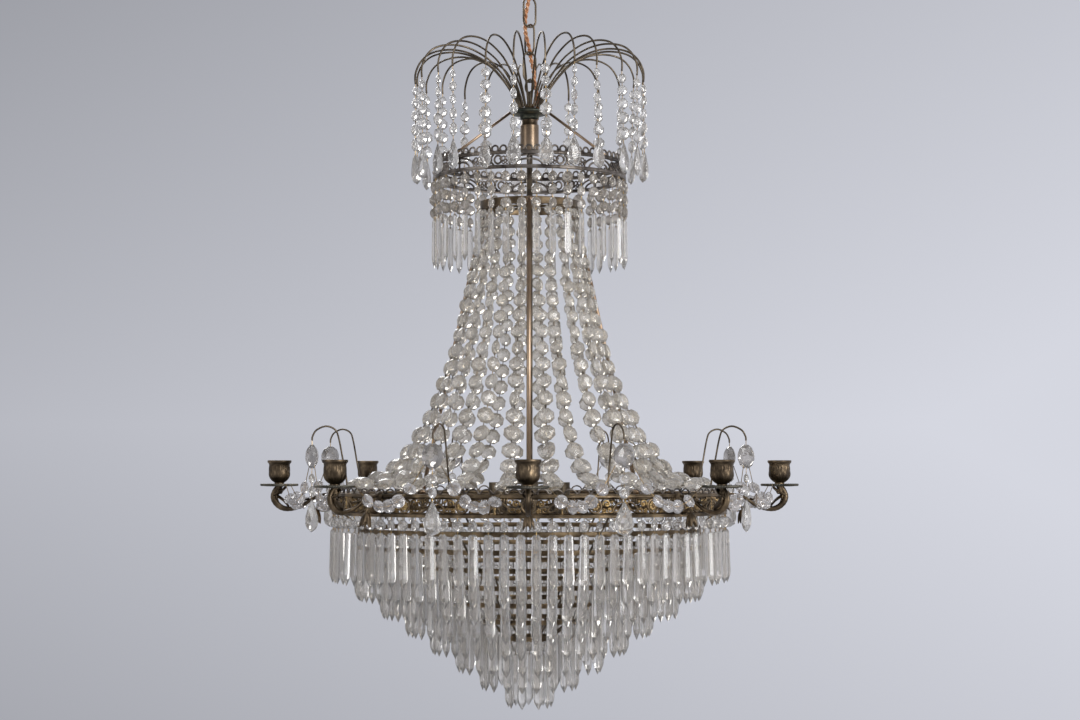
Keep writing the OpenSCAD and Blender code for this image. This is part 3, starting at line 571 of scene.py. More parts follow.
# %% Levels and radii
BAND_T = 3.4 * MM
RING_T = 3 * MM
SHELF_W = 23 * MM
PAN_R = 27 * MM
main_low, main_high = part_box("main_bands")
upper_low, upper_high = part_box("upper_bands")
main_r = main_high.x - BAND_T / 2
upper_r = upper_high.x - BAND_T / 2
main_z, main_bottom_z = main_high.z, main_low.z
upper_z, upper_bottom_z = upper_high.z, upper_low.z
ring_low, ring_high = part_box("strand_ring")
ring_r = ring_high.x - RING_T / 2
shelf_inner_r = main_r - BAND_T / 2 - SHELF_W
pan_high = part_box("drip_pans")[1]
cup_axis_r = pan_high.x - PAN_R
pan_z = pan_high.z - 0.6 * MM
cup_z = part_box("candle_cups")[1].z
eighths = np.arange(8) * 45.0
print("radii of the galleries and the cups", [round(r, 4) for r in (main_r, upper_r, cup_axis_r)])

# %% [markdown]
# The chain. Each link is one wire bent to an oval, and hangs in the one above, a quarter turn round.
# The links swing, so each rides on its own body.

# %% Chain
LINK_W = 25 * MM
LINK_WIRE = 3.0 * MM
LINK_PITCH = 40.6 * MM
HOOK_DROP = 38 * MM
CHAIN_TURN = 37.0
LINK_PLAY = 0.3 * MM


def oval(half_width, half_height, count=64):
    """A racetrack of two half circles and two straights in the XZ plane, as one closed line of points."""
    t = np.linspace(0, TURN, count + 1)
    straight = half_height - half_width
    return np.stack([half_width * np.cos(t), 0 * t, half_width * np.sin(t)
                     + straight * np.clip(np.sin(t) * 6, -1, 1)], -1)


def closed_wire(path, radius, across=(0, 1, 0), sides=10):
    """A wire whose last ring is its first one again, so it has no ends."""
    points = wire(np.concatenate([path[-2:-1], path, path[1:2]]), radius, across, sides)[0]
    count = len(path) - 1
    rings = points.reshape(-1, sides, 3)[1:1 + count].reshape(-1, 3)
    return rings, grid_faces(count + 1, sides)[:, ::-1] % (count * sides)


link_r = (LINK_W - LINK_WIRE) / 2
for number in range(1, 5):
    seat_z = -HOOK_DROP - (number - 0.5) * LINK_PITCH
    link = closed_wire(oval(link_r, LINK_PITCH / 2 + (LINK_WIRE + LINK_PLAY) / 2), LINK_WIRE / 2)
    link = copies(link, turns_at([CHAIN_TURN + 90 * (number - 1)]), [(0, 0, seat_z)])
    piece = make_piece(f"link_{number}", link, bronze, f"link_{number}")
    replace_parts(piece, f"chain_link_{number}")

# %% [markdown]
# The flex is two thin insulated wires twisted together and threaded down the chain. It is cut into stretches that
# meet in the middle of a link.

# %% Flex
# Each point has its azimuth from the chain's own turn, its radius and its height, the last two in mm
FLEX_POINTS = [[45, 6.6, -1], [45, 6.6, -12], [45, 6.6, -24], [45, 6.6, -38], [30, 6.4, -48],
               [0, 6.2, -58], [-30, 6.4, -68], [-45, 6.6, -78], [-60, 6.4, -88], [-90, 6.2, -99],
               [-120, 6.4, -109], [-135, 6.6, -119], [-150, 6.4, -129], [-180, 6.2, -139], [-210, 6.4, -150],
               [-225, 6.6, -160], [-240, 6.4, -170], [-270, 6.2, -180], [-300, 6.4, -190], [-315, 6.8, -200],
               [-312, 9, -212], [-310, 10.6, -224], [-310, 10.6, -236], [-310, 10.4, -248], [-310, 8.6, -262],
               [-310, 8.4, -275], [-310, 8.4, -288]]
FLEX_R = 1.6 * MM
FLEX_LAY = 16 * MM
flex_table = np.array(FLEX_POINTS, float)
flex_a = np.radians(CHAIN_TURN + flex_table[:, 0] - 90)
flex_line = smooth_path(np.stack([flex_table[:, 1] * np.cos(flex_a), flex_table[:, 1] * np.sin(flex_a),
                                  flex_table[:, 2]], -1) * MM, 400)
flex_material = metal("copper_flex", (0.50, 0.22, 0.10), (0.64, 0.32, 0.16), (0.76, 0.44, 0.25), (0.3, 0.45))
flex_material.node_tree.nodes["Principled BSDF"].inputs["Metallic"].default_value = 0.25


def twisted_pair(line):
    """Two wires that circle the middle line once in each lay length."""
    steps = np.linalg.norm(np.diff(line, axis=0), axis=1)
    phase = TURN * np.concatenate([[0], np.cumsum(steps)]) / FLEX_LAY
    swing = np.stack([np.cos(phase), np.sin(phase), 0 * phase], -1) * FLEX_R
    return joined(wire(line + swing, FLEX_R), wire(line - swing, FLEX_R))


cuts = [0.0] + [-HOOK_DROP - (k + 0.5) * LINK_PITCH for k in range(4)] + [-1.0]
for k in range(5):
    inside = (flex_line[:, 2] <= cuts[k] + MM) & (flex_line[:, 2] >= cuts[k + 1] - MM)
    piece = make_piece(f"flex_{k + 1}", twisted_pair(flex_line[inside]), flex_material, None)
    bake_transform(piece)
    if k == 0:
        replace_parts(piece, "flex")

# %% [markdown]
# The canopy and the stem: an eye, a collar that holds the crown's wires, a brass sleeve and a long thin rod.
# The hook and the eye are bent wire. All the others are turned on a lathe, so each is a profile.

# %% Ceiling fitting and stem
canopy_outer = smooth_path(np.array([[56, 0], [56, -5], [54.6, -7], [52.4, -15], [44.6, -27.4], [34.6, -39.6],
                                     [26.4, -51.6], [22, -60.6], [18.6, -61.9]]) * MM, 60)
canopy_inner = smooth_path(np.array([[18.5, -61.2], [20.8, -59.4], [25, -51], [33, -39], [43, -27], [51, -15],
                                     [54.8, -6], [54.9, 0]]) * MM, 50)
canopy_shell = revolved(np.concatenate([canopy_outer, canopy_inner, canopy_outer[:1]]))
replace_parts(make_piece("canopy_cup", canopy_shell, brass, "canopy"), "canopy")


def section_ring(radius, z, outline, sides=96):
    """A closed outline of (outwards, upwards) points, turned about the stem at a radius and a height."""
    outline = np.asarray(outline, float)
    closed = np.concatenate([outline, outline[:1]])
    return revolved(closed + [radius, z], sides)


def rounded_bar(width, height, corner, steps=4):
    """The outline of a bar with round corners, centred, anticlockwise from the lower right."""
    a = np.linspace(0, np.pi / 2, steps)
    outline = []
    for turn, (x, z) in enumerate([(1, -1), (1, 1), (-1, 1), (-1, -1)]):
        at = a - np.pi / 2 + turn * np.pi / 2
        outline.append(np.stack([x * (width / 2 - corner) + corner * np.cos(at),
                                 z * (height / 2 - corner) + corner * np.sin(at)], -1))
    return np.concatenate(outline)


GRIP_BORE_R = 18 * MM
GRIP_INSET = 0.1 * MM
grip_low, grip_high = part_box("canopy_grip")
grip_width = grip_high.x - GRIP_BORE_R - 2 * GRIP_INSET
grip_ring = section_ring((grip_high.x + GRIP_BORE_R) / 2, (grip_low.z + grip_high.z) / 2,
                         rounded_bar(grip_width, grip_high.z - grip_low.z, 1.5 * MM))
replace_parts(make_piece("grip_ring", grip_ring, gilt, "canopy"), "canopy_grip")
refinish("ceiling_plate", zinc)

HOOK_WIRE = 5 * MM
HOOK_R = 9.5 * MM
hook_z = -HOOK_DROP - HOOK_WIRE / 2 - LINK_PLAY / 2 + HOOK_R
hook_t = np.radians(np.linspace(50, -270, 48))
hook_line = np.stack([HOOK_R * np.cos(hook_t), 0 * hook_t, hook_z + HOOK_R * np.sin(hook_t)], -1)
hook = joined(wire(hook_line, HOOK_WIRE / 2, sides=14),
              wire([(0, 0, hook_z + HOOK_R - MM), (0, 0, -3.3 * MM)], HOOK_WIRE / 2, sides=14),
              revolved(np.array([[0, -7.3], [4, -7.3], [5, -6.6], [5, -4], [4.4, -3.3], [0, -3.3]]) * MM, 32))
hook = round_the_stem(hook, [CHAIN_TURN + 90])
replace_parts(make_piece("ceiling_hook_ring", hook, zinc, "ceiling"), "ceiling_hook")

collar_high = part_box("collar")[1]
collar_z = collar_high.z
collar_r = collar_high.x
sleeve_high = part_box("stem_sleeve")[1]
rod_low, rod_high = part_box("stem_rod")
EYE_R = 9.5 * MM
EYE_WIRE = 3.6 * MM
eye_z = -HOOK_DROP - 4 * LINK_PITCH + (EYE_WIRE + LINK_PLAY) / 2 - EYE_R
eye_t = np.linspace(0, TURN, 41)
eye_line = np.stack([EYE_R * np.cos(eye_t), 0 * eye_t, eye_z + EYE_R * np.sin(eye_t)], -1)
shank_from, shank_to = sleeve_high.z - 6 * MM, eye_z - EYE_R
eye_shank = revolved([(0, shank_from), (4 * MM, shank_from), (4 * MM, shank_to - 3 * MM),
                      (2.4 * MM, shank_to), (0, shank_to)], 24)
eye = round_the_stem(joined(closed_wire(eye_line, EYE_WIRE / 2), eye_shank), [CHAIN_TURN])
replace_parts(make_piece("stem_eye_ring", eye, bronze, "chandelier"), "stem_eye")

collar_profile = np.array([[0, 0], [13, 0], [14, -0.8], [15, -2.6], [26.4, -3.6], [28.6, -4.4], [29, -6],
                           [28.6, -7.6], [26.6, -8.4], [17, -9.6], [14.4, -11.4], [13.6, -13.6],
                           [13.4, -16], [0, -16]])
collar_plate = revolved(collar_profile * MM + [0, collar_z])
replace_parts(make_piece("collar_plate", collar_plate, green_brass, "chandelier"), "collar")
refinish("collar_nut", gilt)

sleeve_profile = np.array([[0, 0], [11.3, 0], [11.8, -1], [11.8, -7], [13.2, -8], [13.5, -9.4], [13.5, -43.4],
                           [13.2, -44.8], [12.2, -46], [0, -46]])
sleeve = revolved(sleeve_profile * MM + [0, sleeve_high.z])
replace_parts(make_piece("sleeve_tube", sleeve, sleeve_brass, "chandelier"), "stem_sleeve")
rod = revolved([(0, rod_high.z), (rod_high.x, rod_high.z), (rod_high.x, rod_low.z + MM),
                (rod_high.x - MM, rod_low.z), (0, rod_low.z)], 28)
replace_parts(make_piece("stem_tube", rod, bronze, "chandelier"), "stem_rod")

# %% [markdown]
# The crown. Twenty-four wires rise from the collar and fall outwards over their string, like a fountain.
# All were bent by hand, so each gets its own small turn and lift, and the string under it follows.

# %% Crown wires
CROWN_N = 24
CROWN_WIRE = 2.9 * MM
crown_azimuths = evenly(CROWN_N)
CROWN_LINE = np.array([[15.2, -240.6], [16.6, -236], [24, -221.5], [38, -200], [57, -178.4], [74, -167],
                       [92, -159], [108, -155.3], [122, -154.6], [137, -156.6], [150, -162], [160, -172],
                       [166, -185], [167.2, -195], [166.6, -203]])
crown_lift = chance.normal(0, 3.0, CROWN_N).clip(-5, 4) * MM
crown_yaw = chance.normal(0, 1.6, CROWN_N).clip(-3, 3)
crown_wires = []
for azimuth, lift_here, yaw in zip(crown_azimuths, crown_lift, crown_yaw):
    line = smooth_path(CROWN_LINE, 44) * MM
    share = (line[:, 0] / line[:, 0].max()) ** 2
    bend = np.radians(yaw) * share
    lifted = line[:, 1] + lift_here * share
    path = np.stack([line[:, 0] * np.cos(bend), line[:, 0] * np.sin(bend), lifted], -1)
    crown_wires.append(round_the_stem(wire(path, CROWN_WIRE / 2, sides=6), [azimuth]))
crown = make_piece("crown_fountain", joined(*crown_wires), bronze, "chandelier")
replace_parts(crown, "crown_wires")

# %% [markdown]
# Strings of beads. On the real thing a short brass pin joins each bead to the next. It shows between the
# beads, and through them as the brown flecks of the photograph, so the pins run a little into the stones.

# %% Strings of beads that hang straight down
HOOK_EYE = 3 * MM
BEAD_GAP = 2.5 * MM
PIN_R = 0.55 * MM
PIN_IN_STONE = 2.2 * MM
PIN_IN_TAIL = 3 * MM


def bead_tops(sizes):
    """How far below the hook each bead starts, and last where the string goes on."""
    return HOOK_EYE + np.concatenate([[0], np.cumsum(np.asarray(sizes) + BEAD_GAP)])


def hang(stones, pins, places, azimuths, sizes, tail, twist, tilt, tails=None):
    """Hangs a row of beads and a tail below each place. By chance each string is tilted and each stone is
    twisted about it. The tails may go to a batch of their own."""
    count = len(places)
    tops = bead_tops(sizes)
    own = spin(chance.normal(0, twist, count).clip(-90, 90), 2)
    lean = spin(chance.normal(0, tilt, count), 0) @ spin(chance.normal(0, tilt, count), 1)
    hanging = turns_at(azimuths) @ lean

    def below(depth):
        """The point on each tilted string at that depth under its hook."""
        return places + lean @ np.array([0, 0, -depth])

    for size, top in zip(sizes, tops):
        small = spin(chance.normal(0, twist / 2, count), 2)
        stones.add(octagon, hanging @ own @ small, below(top + size / 2), size)
    tail_twist = spin(chance.normal(0, twist / 3, count), 2)
    (tails or stones).add(tail, hanging @ tail_twist, below(tops[-1]))
    starts = np.concatenate([[-MM], tops[:-1] + np.asarray(sizes) - PIN_IN_STONE])
    stops = np.concatenate([tops[:-1] + PIN_IN_STONE, [tops[-1] + PIN_IN_TAIL]])
    for start, stop in zip(starts, stops):
        pins.append(rods(below(start), below(stop), PIN_R))


crown_sizes = np.linspace(14, 20, 5) * MM
crown_pear = cut_pear(22 * MM, 44 * MM, 4.6 * MM)
crown_tip_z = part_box("crown_strings")[1].z
crown_stones, crown_pins = Batch(), []
crown_tips = around(CROWN_LINE[-1, 0] * MM, crown_azimuths + crown_yaw, crown_tip_z)
crown_tips[:, 2] += crown_lift
hang(crown_stones, crown_pins, crown_tips, crown_azimuths, crown_sizes, crown_pear, twist=38, tilt=0.7)
crown_hanging = crown_stones.piece("crown_beads", clear_crystal, "chandelier", "crystal")
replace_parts(crown_hanging, "crown_strings")
make_piece("crown_pins", joined(*crown_pins), gilt, "chandelier", False)

# %% [markdown]
# The galleries. Each is a pierced band between two rails, cast flat and bent round. So it is drawn flat
# here as well, as strokes of a wire with an oval section, and the whole band is bent to its circle last.


# %% Bending a flat band round the stem
def bent_round(shape, radius):
    """Carries (depth, along, height) to the cylinder: the angle is along divided by the radius."""
    points, faces = shape
    a = points[:, 1] / radius - TURN / 4
    r = radius + points[:, 0]
    return np.stack([r * np.cos(a), r * np.sin(a), points[:, 2]], -1), faces


def stroke(line, width, depth, sides=6):
    """A flat stroke in the (along, height) plane, of a width that may change along the way."""
    line = np.asarray(line, float)
    path = np.stack([0 * line[:, 0], line[:, 0], line[:, 1]], -1)
    closed = np.allclose(path[0], path[-1])
    points, faces = (closed_wire if closed else wire)(path, np.asarray(width) / 2, (1, 0, 0), sides)
    return points * [depth / np.mean(width), 1, 1], faces


def spiral(x, z, start_r, end_r, start, turns, count=20):
    """A volute: the radius shrinks evenly while the angle runs from start through the given turns."""
    t = np.linspace(0, 1, count)
    r = start_r + (end_r - start_r) * t
    a = np.radians(start) + turns * TURN * t
    return np.stack([x + r * np.cos(a), z + r * np.sin(a)], -1)


def ellipse(x, z, long_r, short_r, tilt, count=17):
    """A leaf-shaped loop, as a closed line."""
    t = np.linspace(0, TURN, count)
    c, s = np.cos(np.radians(tilt)), np.sin(np.radians(tilt))
    u, v = long_r * np.cos(t), short_r * np.sin(t)
    return np.stack([x + u * c - v * s, z + u * s + v * c], -1)


def button(x, z, radius, depth, sides=10):
    """A low round boss that stands on the front of the band and shows a flatter back."""
    profile = np.array([[0, -0.8], [0.8, -0.7], [1, 0], [0.88, 0.6], [0.5, 0.95], [0, 1]])
    points, faces = revolved(profile * [radius, depth], sides)
    return np.stack([points[:, 2], points[:, 0] + x, points[:, 1] + z], -1), faces


def flower(x, z, radius, depth, petals):
    """A flower: a middle boss with a ring of bosses for petals round it."""
    ring_r = radius * 0.62
    ring = [button(x + ring_r * np.cos(a), z + ring_r * np.sin(a), radius * 0.40, depth * 0.75, 8)
            for a in np.arange(petals) * TURN / petals + TURN / 12]
    return joined(button(x, z, radius * 0.36, depth), *ring)


def baluster(x, height, radius):
    """A small turned post between the rails, with a ring in its middle. Its lower half mirrors its upper."""
    upper = np.array([[1.1, 0], [0.55, 0.1], [0.95, 0.25], [0.62, 0.5], [0.5, 0.78], [1, 0.86], [1, 1],
                      [0, 1]])
    profile = np.concatenate([upper[:0:-1] * [1, -1], upper])
    points, faces = revolved(profile * [radius, height / 2], 8)
    return points + [0, x, 0], faces


def mirrored(shape):
    """The same shape with its left and right exchanged, its faces turned to stay outside out."""
    points, faces = shape
    return points * [1, -1, 1], flipped(faces)


def main_unit(pitch, h):
    """One repeat of the main gallery: a ring, leaf-shaped loops that lean outwards, and crossing bars. Each
    unit is drawn in millimetres, h high and as wide as the pitch."""
    w, d = 2.9, 3.0
    side = joined(
        stroke(ellipse(33.6, -1.2, 9.6, 4.2, 38), w, d),
        stroke([(25.8, -h / 2), (28.2, -5.4)], w, d),
        stroke([(39.6, h / 2), (38.8, 5.2)], w, d),
        stroke([(27.6, h / 2), (28.6, 3.4)], 2.0, 2.4),
        stroke([(31.4, h / 2), (31.8, 4.8)], 2.0, 2.4),
        stroke([(35.4, h / 2), (35.2, 6.6)], 2.0, 2.4),
        stroke([(37.0, -h / 2), (38.4, -4.4), (42.6, -1.0)], 2.4, d),
        stroke([(9.6, -8.0), (25.8, -9.0)], 2.6, 2.2))
    edges = [stroke([(-pitch / 2, z), (pitch / 2, z)], 2.4, 2.6) for z in (h / 2 - 1, 1 - h / 2)]
    return joined(side, mirrored(side), stroke(ellipse(0, 0, 8.8, 8.8, 0, 25), 3.0, d),
                  stroke([(0, -h / 2), (0, -7.4)], w, d), stroke([(0, 7.4), (0, h / 2)], w, d), *edges)


def main_gilt_and_highlight(pitch, h):
    """The brighter gilt parts of the same repeat, partly real gilding and partly a painted highlight on the raised
    parts against the darker lace: a rosette in the ring, scrolls and small flowers beside it, a post between it and
    the next."""
    d = 3.2
    side = joined(
        stroke(spiral(16.6, 3.0, 5.4, 1.4, 200, -1.2, 24), np.linspace(2.8, 1.6, 24), d),
        button(16.6, 3.0, 1.9, 2.4),
        stroke(spiral(21.4, -4.8, 4.4, 1.3, 20, -1.15, 22), np.linspace(2.6, 1.5, 22), d),
        button(21.4, -4.8, 1.6, 2.2),
        flower(13.4, -6.2, 3.8, 2.3, 5), button(24.2, 5.8, 2.4, 2.4))
    return joined(side, mirrored(side), flower(0, 0, 7.2, 2.6, 8), baluster(pitch / 2, h, 2.3))


def upper_unit(pitch, h):
    """One repeat of the upper gallery: two arches on each side of a node, volutes back to back, a round
    opening, and arcs that meet the next repeat's in a cross."""
    w, d = 3.0, 3.0
    quarter = np.radians(np.linspace(0, 90, 14))
    bow = np.radians(np.linspace(-60, 60, 11))
    reach = 8.4
    parts = [stroke(np.stack([2 + wide * np.sin(quarter), -h / 2 + high * np.cos(quarter)], -1), w, d)
             for wide, high in ((25, 13.6), (16.4, 8.0))]
    for way in (-1, 1):
        high_volute = spiral(33.4 + 3.3 * way, 2.2, 4.4, 1.3, 90 - 90 * way, -1.1 * way)
        low_volute = spiral(33.4 + 2.9 * way, -4.6, 2.9, 1.0, 90 - 90 * way, 1.0 * way)
        parts.append(stroke(high_volute, np.linspace(2.9, 1.7, 20), d))
        parts.append(stroke(low_volute, np.linspace(2.5, 1.5, 20), d))
    parts.append(stroke(ellipse(44.2, 0, 5.2, 5.6, 0, 21), w, d))
    parts.append(stroke(np.stack([pitch / 2 - reach + reach * np.cos(bow), reach * np.sin(bow)], -1), w, d))
    side = joined(*parts)
    return joined(side, mirrored(side), stroke([(0, -h / 2), (0, h / 2)], 2.8, d),
                  button(0, 0.6, 3.0, 2.8), button(pitch / 2, 0, 2.2, 2.4))


def repeated_round(flat, count, radius, z):
    """Repeats a flat shape along the whole length of a band, bends it round and lifts it to its height."""
    steps = np.arange(count) * (TURN * radius / count)
    places = np.stack([0 * steps, steps, 0 * steps], -1)
    points, faces = bent_round(copies(flat, np.repeat(np.eye(3)[None], count, 0), places), radius)
    return points + [0, 0, z], faces


def pierced_band(unit, count, radius, top, bottom):
    """Draws a unit for the band's height and its own share of the length, and repeats it all round."""
    flat = unit(TURN * radius / count / MM, (top - bottom) / MM)
    return repeated_round(stretched(flat, MM, MM, MM), count, radius, (top + bottom) / 2)


# %% Rails, pierced bands and scallops
UPPER_RAIL_H = 5 * MM
MAIN_RAIL_H = 4.5 * MM


def rail(radius, z, height, thick):
    """A rail with a bead along its upper and its lower edge."""
    upper = np.array([[0.8, 0.3], [1.25, 0.5], [1.25, 0.75], [0.9, 1], [-1, 1]])
    outline = np.concatenate([upper[::-1] * [1, -1], upper]) * [thick / 2, height / 2]
    return section_ring(radius, z - height / 2, outline, 144)


upper_rails = joined(rail(upper_r, upper_z, UPPER_RAIL_H, BAND_T),
                     rail(upper_r, upper_bottom_z + UPPER_RAIL_H, UPPER_RAIL_H, BAND_T))
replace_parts(make_piece("upper_rails", upper_rails, silvery, "chandelier"), "upper_bands")
shelf = section_ring((shelf_inner_r + main_r) / 2, main_z - 2 * MM,
                     rounded_bar(main_r - shelf_inner_r, 2 * MM, 0.5 * MM, 3), 144)
main_rails = joined(rail(main_r, main_z, MAIN_RAIL_H, BAND_T), shelf,
                    rail(main_r, main_bottom_z + MAIN_RAIL_H, MAIN_RAIL_H, BAND_T))
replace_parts(make_piece("main_rails", main_rails, brass, "chandelier"), "main_bands")

upper_span = (upper_r, upper_z - UPPER_RAIL_H, upper_bottom_z + UPPER_RAIL_H)
main_span = (main_r, main_z - MAIN_RAIL_H, main_bottom_z + MAIN_RAIL_H)
upper_lace = pierced_band(upper_unit, 8, *upper_span)
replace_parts(make_piece("upper_lace", upper_lace, silvery, "chandelier"), "upper_frieze")
main_lace = pierced_band(main_unit, 20, *main_span)
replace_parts(make_piece("main_lace", main_lace, brass, "chandelier"), "main_frieze")
# The gilt on the raised bosses, scrolls and posts is lighter than the lace round it: partly real gilding, partly a
# painted highlight
make_piece("main_gilding_and_painted_highlight", pierced_band(main_gilt_and_highlight, 20, *main_span), gilt, "chandelier")


def scallop_row(radius, count, z, height, strip, extra):
    """Loops of flat wire side by side on a rail. Each goes some extra degrees past the half circle."""
    pitch = TURN * radius / count
    a = np.radians(np.linspace(-extra, 180 + extra, 15))
    top = height - strip / 2
    rise = top / (1 + np.sin(np.radians(extra)))
    across = (pitch - strip) / 2 - 0.1 * MM
    arch = stroke(np.stack([across * np.cos(a), top - rise + rise * np.sin(a)], -1), strip, 2.4 * MM)
    foot = button(pitch / 2, 1.3 * MM, 1.4 * MM, 1.6 * MM, 8)
    return repeated_round(joined(arch, foot), count, radius, z)


upper_row = scallop_row(upper_r, 72, upper_z, 8.7 * MM, 2.9 * MM, 40)
main_row = scallop_row(main_r, 96, main_z, 7.8 * MM, 2.2 * MM, 0)
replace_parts(make_piece("main_scallops", main_row, silvery, "chandelier"), "gallery_scallops")
make_piece("upper_scallops", upper_row, silvery, "chandelier")

# %% [markdown]
# The fringe and the basket are the same idea: a bead over a long spear prism. The fringe has three beads.
# Every drop hangs a little askew, because a perfect row of prisms looks like a printed one.

# %% Upper fringe
FRINGE_N = 40
DROP_BEAD = 16 * MM
fringe_prism = stretched(broad_prism, 10 * MM, 10 * MM, 68 * MM)
fringe_azimuths = evenly(FRINGE_N)
fringe_stones, fringe_tails, fringe_pins = Batch(), Batch(), []
hang(fringe_stones, fringe_pins, around(upper_r, fringe_azimuths, upper_bottom_z), fringe_azimuths,
     [DROP_BEAD] * 3, fringe_prism, twist=42, tilt=0.7, tails=fringe_tails)
fringe = fringe_stones.piece("fringe_crystals", fringe_crystal, "chandelier", "crystal")
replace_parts(fringe, "upper_fringe")
fringe_tails.piece("fringe_prisms", clear_crystal, "chandelier", "crystal")
make_piece("fringe_pins", joined(*fringe_pins), gilt, "chandelier", False)

# %% Basket
TIER_STEP = 36 * MM
TIER_FALL = 26 * MM
DROP_PITCH = 21 * MM
TIER_RING_H = 7 * MM
TIER_RING_T = 1.6 * MM
tier_prism = stretched(prism, 14 * MM, 14 * MM, 75 * MM)
tier_r = [main_r - k * TIER_STEP for k in range(8)]
tier_z = [main_bottom_z - k * TIER_FALL for k in range(8)]
tier_pins = []
for k in range(8):
    count = int(TURN * tier_r[k] // DROP_PITCH)
    azimuths = evenly(count)
    stones = Batch()
    hang(stones, tier_pins, around(tier_r[k], azimuths, tier_z[k]), azimuths, [DROP_BEAD], tier_prism,
         twist=36, tilt=0.8)
    tier = stones.piece(f"tier_{k + 1}_crystals", clear_crystal, "chandelier", "crystal")
    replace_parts(tier, f"tier_drops_{k + 1}")
make_piece("tier_pins", joined(*tier_pins), gilt, "chandelier", False)
tier_bands = [section_ring(tier_r[k], tier_z[k] + TIER_RING_H / 2,
                           rounded_bar(TIER_RING_T, TIER_RING_H, 0.5 * MM, 3), 120) for k in range(1, 8)]
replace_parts(make_piece("tier_bands", joined(*tier_bands), brass, "chandelier"), "basket_rings")

# %% [markdown]
# The tent. Each strand is a chain of cut beads that grow towards the foot. It hangs from the small ring
# to the shelf along a cubic curve. The beads are laid out by arc length, so each gap is the same share.

# %% Tent of strands
STRAND_N = 24
STRAND_BEADS = 20
STRAND_TWIST = 26
STRAND_WANDER = 0.5 * MM
STRAND_FROM = np.array([ring_r, ring_low.z])
STRAND_TO = np.array([shelf_inner_r + 8 * MM, main_z + 10 * MM])
STRAND_PULL = np.array([[ring_r + 22 * MM, ring_high.z - 186 * MM], [ring_r + 80 * MM, main_z]])
t = np.linspace(0, 1, 600)[:, None]
strand_curve = ((1 - t) ** 3 * STRAND_FROM + 3 * t * (1 - t) ** 2 * STRAND_PULL[0]
                + 3 * t ** 2 * (1 - t) * STRAND_PULL[1] + t ** 3 * STRAND_TO)
walked = np.concatenate([[0], np.cumsum(np.linalg.norm(np.diff(strand_curve, axis=0), axis=1))])
strand_sizes = np.linspace(14, 29, STRAND_BEADS) * MM
shares = np.concatenate([[0], np.cumsum(strand_sizes + BEAD_GAP)])
edges = shares / shares[-1] * walked[-1]
edge_points = np.stack([np.interp(edges, walked, strand_curve[:, i]) for i in range(2)], -1)
strand_stones, strand_pins = Batch(), []
strand_base = turns_at(evenly(STRAND_N))
strand_sway = chance.normal(0, 1.0, STRAND_N)
for k in range(STRAND_BEADS):
    p, q = edge_points[k], edge_points[k + 1]
    sway = np.radians(strand_sway * np.sin(np.pi * (k + 0.5) / STRAND_BEADS))
    wander = chance.normal(0, STRAND_WANDER, (STRAND_N, 3))
    middle_at = np.array([(p[0] + q[0]) / 2, 0, (p[1] + q[1]) / 2])
    lean = spin(np.degrees(np.arctan2(p[0] - q[0], p[1] - q[1])), 1)
    swayed = strand_base @ spin(np.degrees(sway), 2)
    own = spin(chance.normal(0, STRAND_TWIST, STRAND_N), 2)
    places = swayed @ middle_at + wander
    strand_stones.add(octagon, swayed @ lean @ own, places, strand_sizes[k])
    reach = np.array([[p[0], 0, p[1]], [q[0], 0, q[1]]]) - middle_at
    # Each pin starts inside its stone and ends one gap past the end of the stone's share
    inside = 0.8 * (1 - 2 * BEAD_GAP / strand_sizes[k])
    past = 1 + 2 * BEAD_GAP / np.linalg.norm(q - p)
    for end in reach:
        strand_pins.append(rods(places + swayed @ (end * inside), places + swayed @ (end * past), PIN_R))
strands = strand_stones.piece("strand_crystals", warm_crystal, "chandelier", "dusty_crystal")
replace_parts(strands, "bead_strands")
make_piece("strand_pins", joined(*strand_pins), bronze, "chandelier", False)

# %% [markdown]
# Rings, rods and struts are plain turned or drawn brass. Only their edges and bosses need care.

# %% Strand ring, suspension rods and struts
ring_band = section_ring(ring_r, (ring_low.z + ring_high.z) / 2,
                         rounded_bar(RING_T, ring_high.z - ring_low.z, 1.0 * MM))
ring_hub = revolved(np.array([[0, -11], [9.5, -11], [10.5, -10], [10.5, -1], [9.5, 0], [0, 0]]) * MM
                    + [0, ring_high.z], 36)
ring_mid = (ring_low.z + ring_high.z) / 2
spoke_azimuths = evenly(6)
ring_spokes = rods(around(8 * MM, spoke_azimuths, ring_mid), around(ring_r - MM, spoke_azimuths, ring_mid),
                   2 * MM, 10)
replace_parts(make_piece("strand_hoop", joined(ring_band, ring_hub, ring_spokes), brass, "chandelier"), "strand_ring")

SPIDER_R = 184 * MM
boss_r = ring_r + 1.8 * MM
foot_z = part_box("suspension_rods")[0].z
rod_line = [(boss_r + 4.5 * MM, 0, ring_mid), (SPIDER_R, 0, foot_z + 6 * MM)]
screw_profile = np.array([[0, 0], [5.5, 0], [5.5, 1.6], [4.6, 2.4], [4.6, 5], [3.4, 6.4], [0, 6.8]])
screw = moved(revolved(screw_profile * MM, 24), spin(90, 1)[0], (boss_r, 0, ring_mid))
rod_foot = revolved(np.array([[0, 0], [5, 0], [5, 4.6], [3.6, 6.4], [0, 6.8]]) * MM, 20)
rod_foot = moved(rod_foot, np.eye(3), (SPIDER_R, 0, foot_z))
one_rod = joined(wire(rod_line, 3 * MM, sides=14), screw, rod_foot)
suspension = round_the_stem(one_rod, [0, 120, 240])
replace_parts(make_piece("suspension_wires", suspension, rod_brass, "chandelier"),
            "suspension_rods")

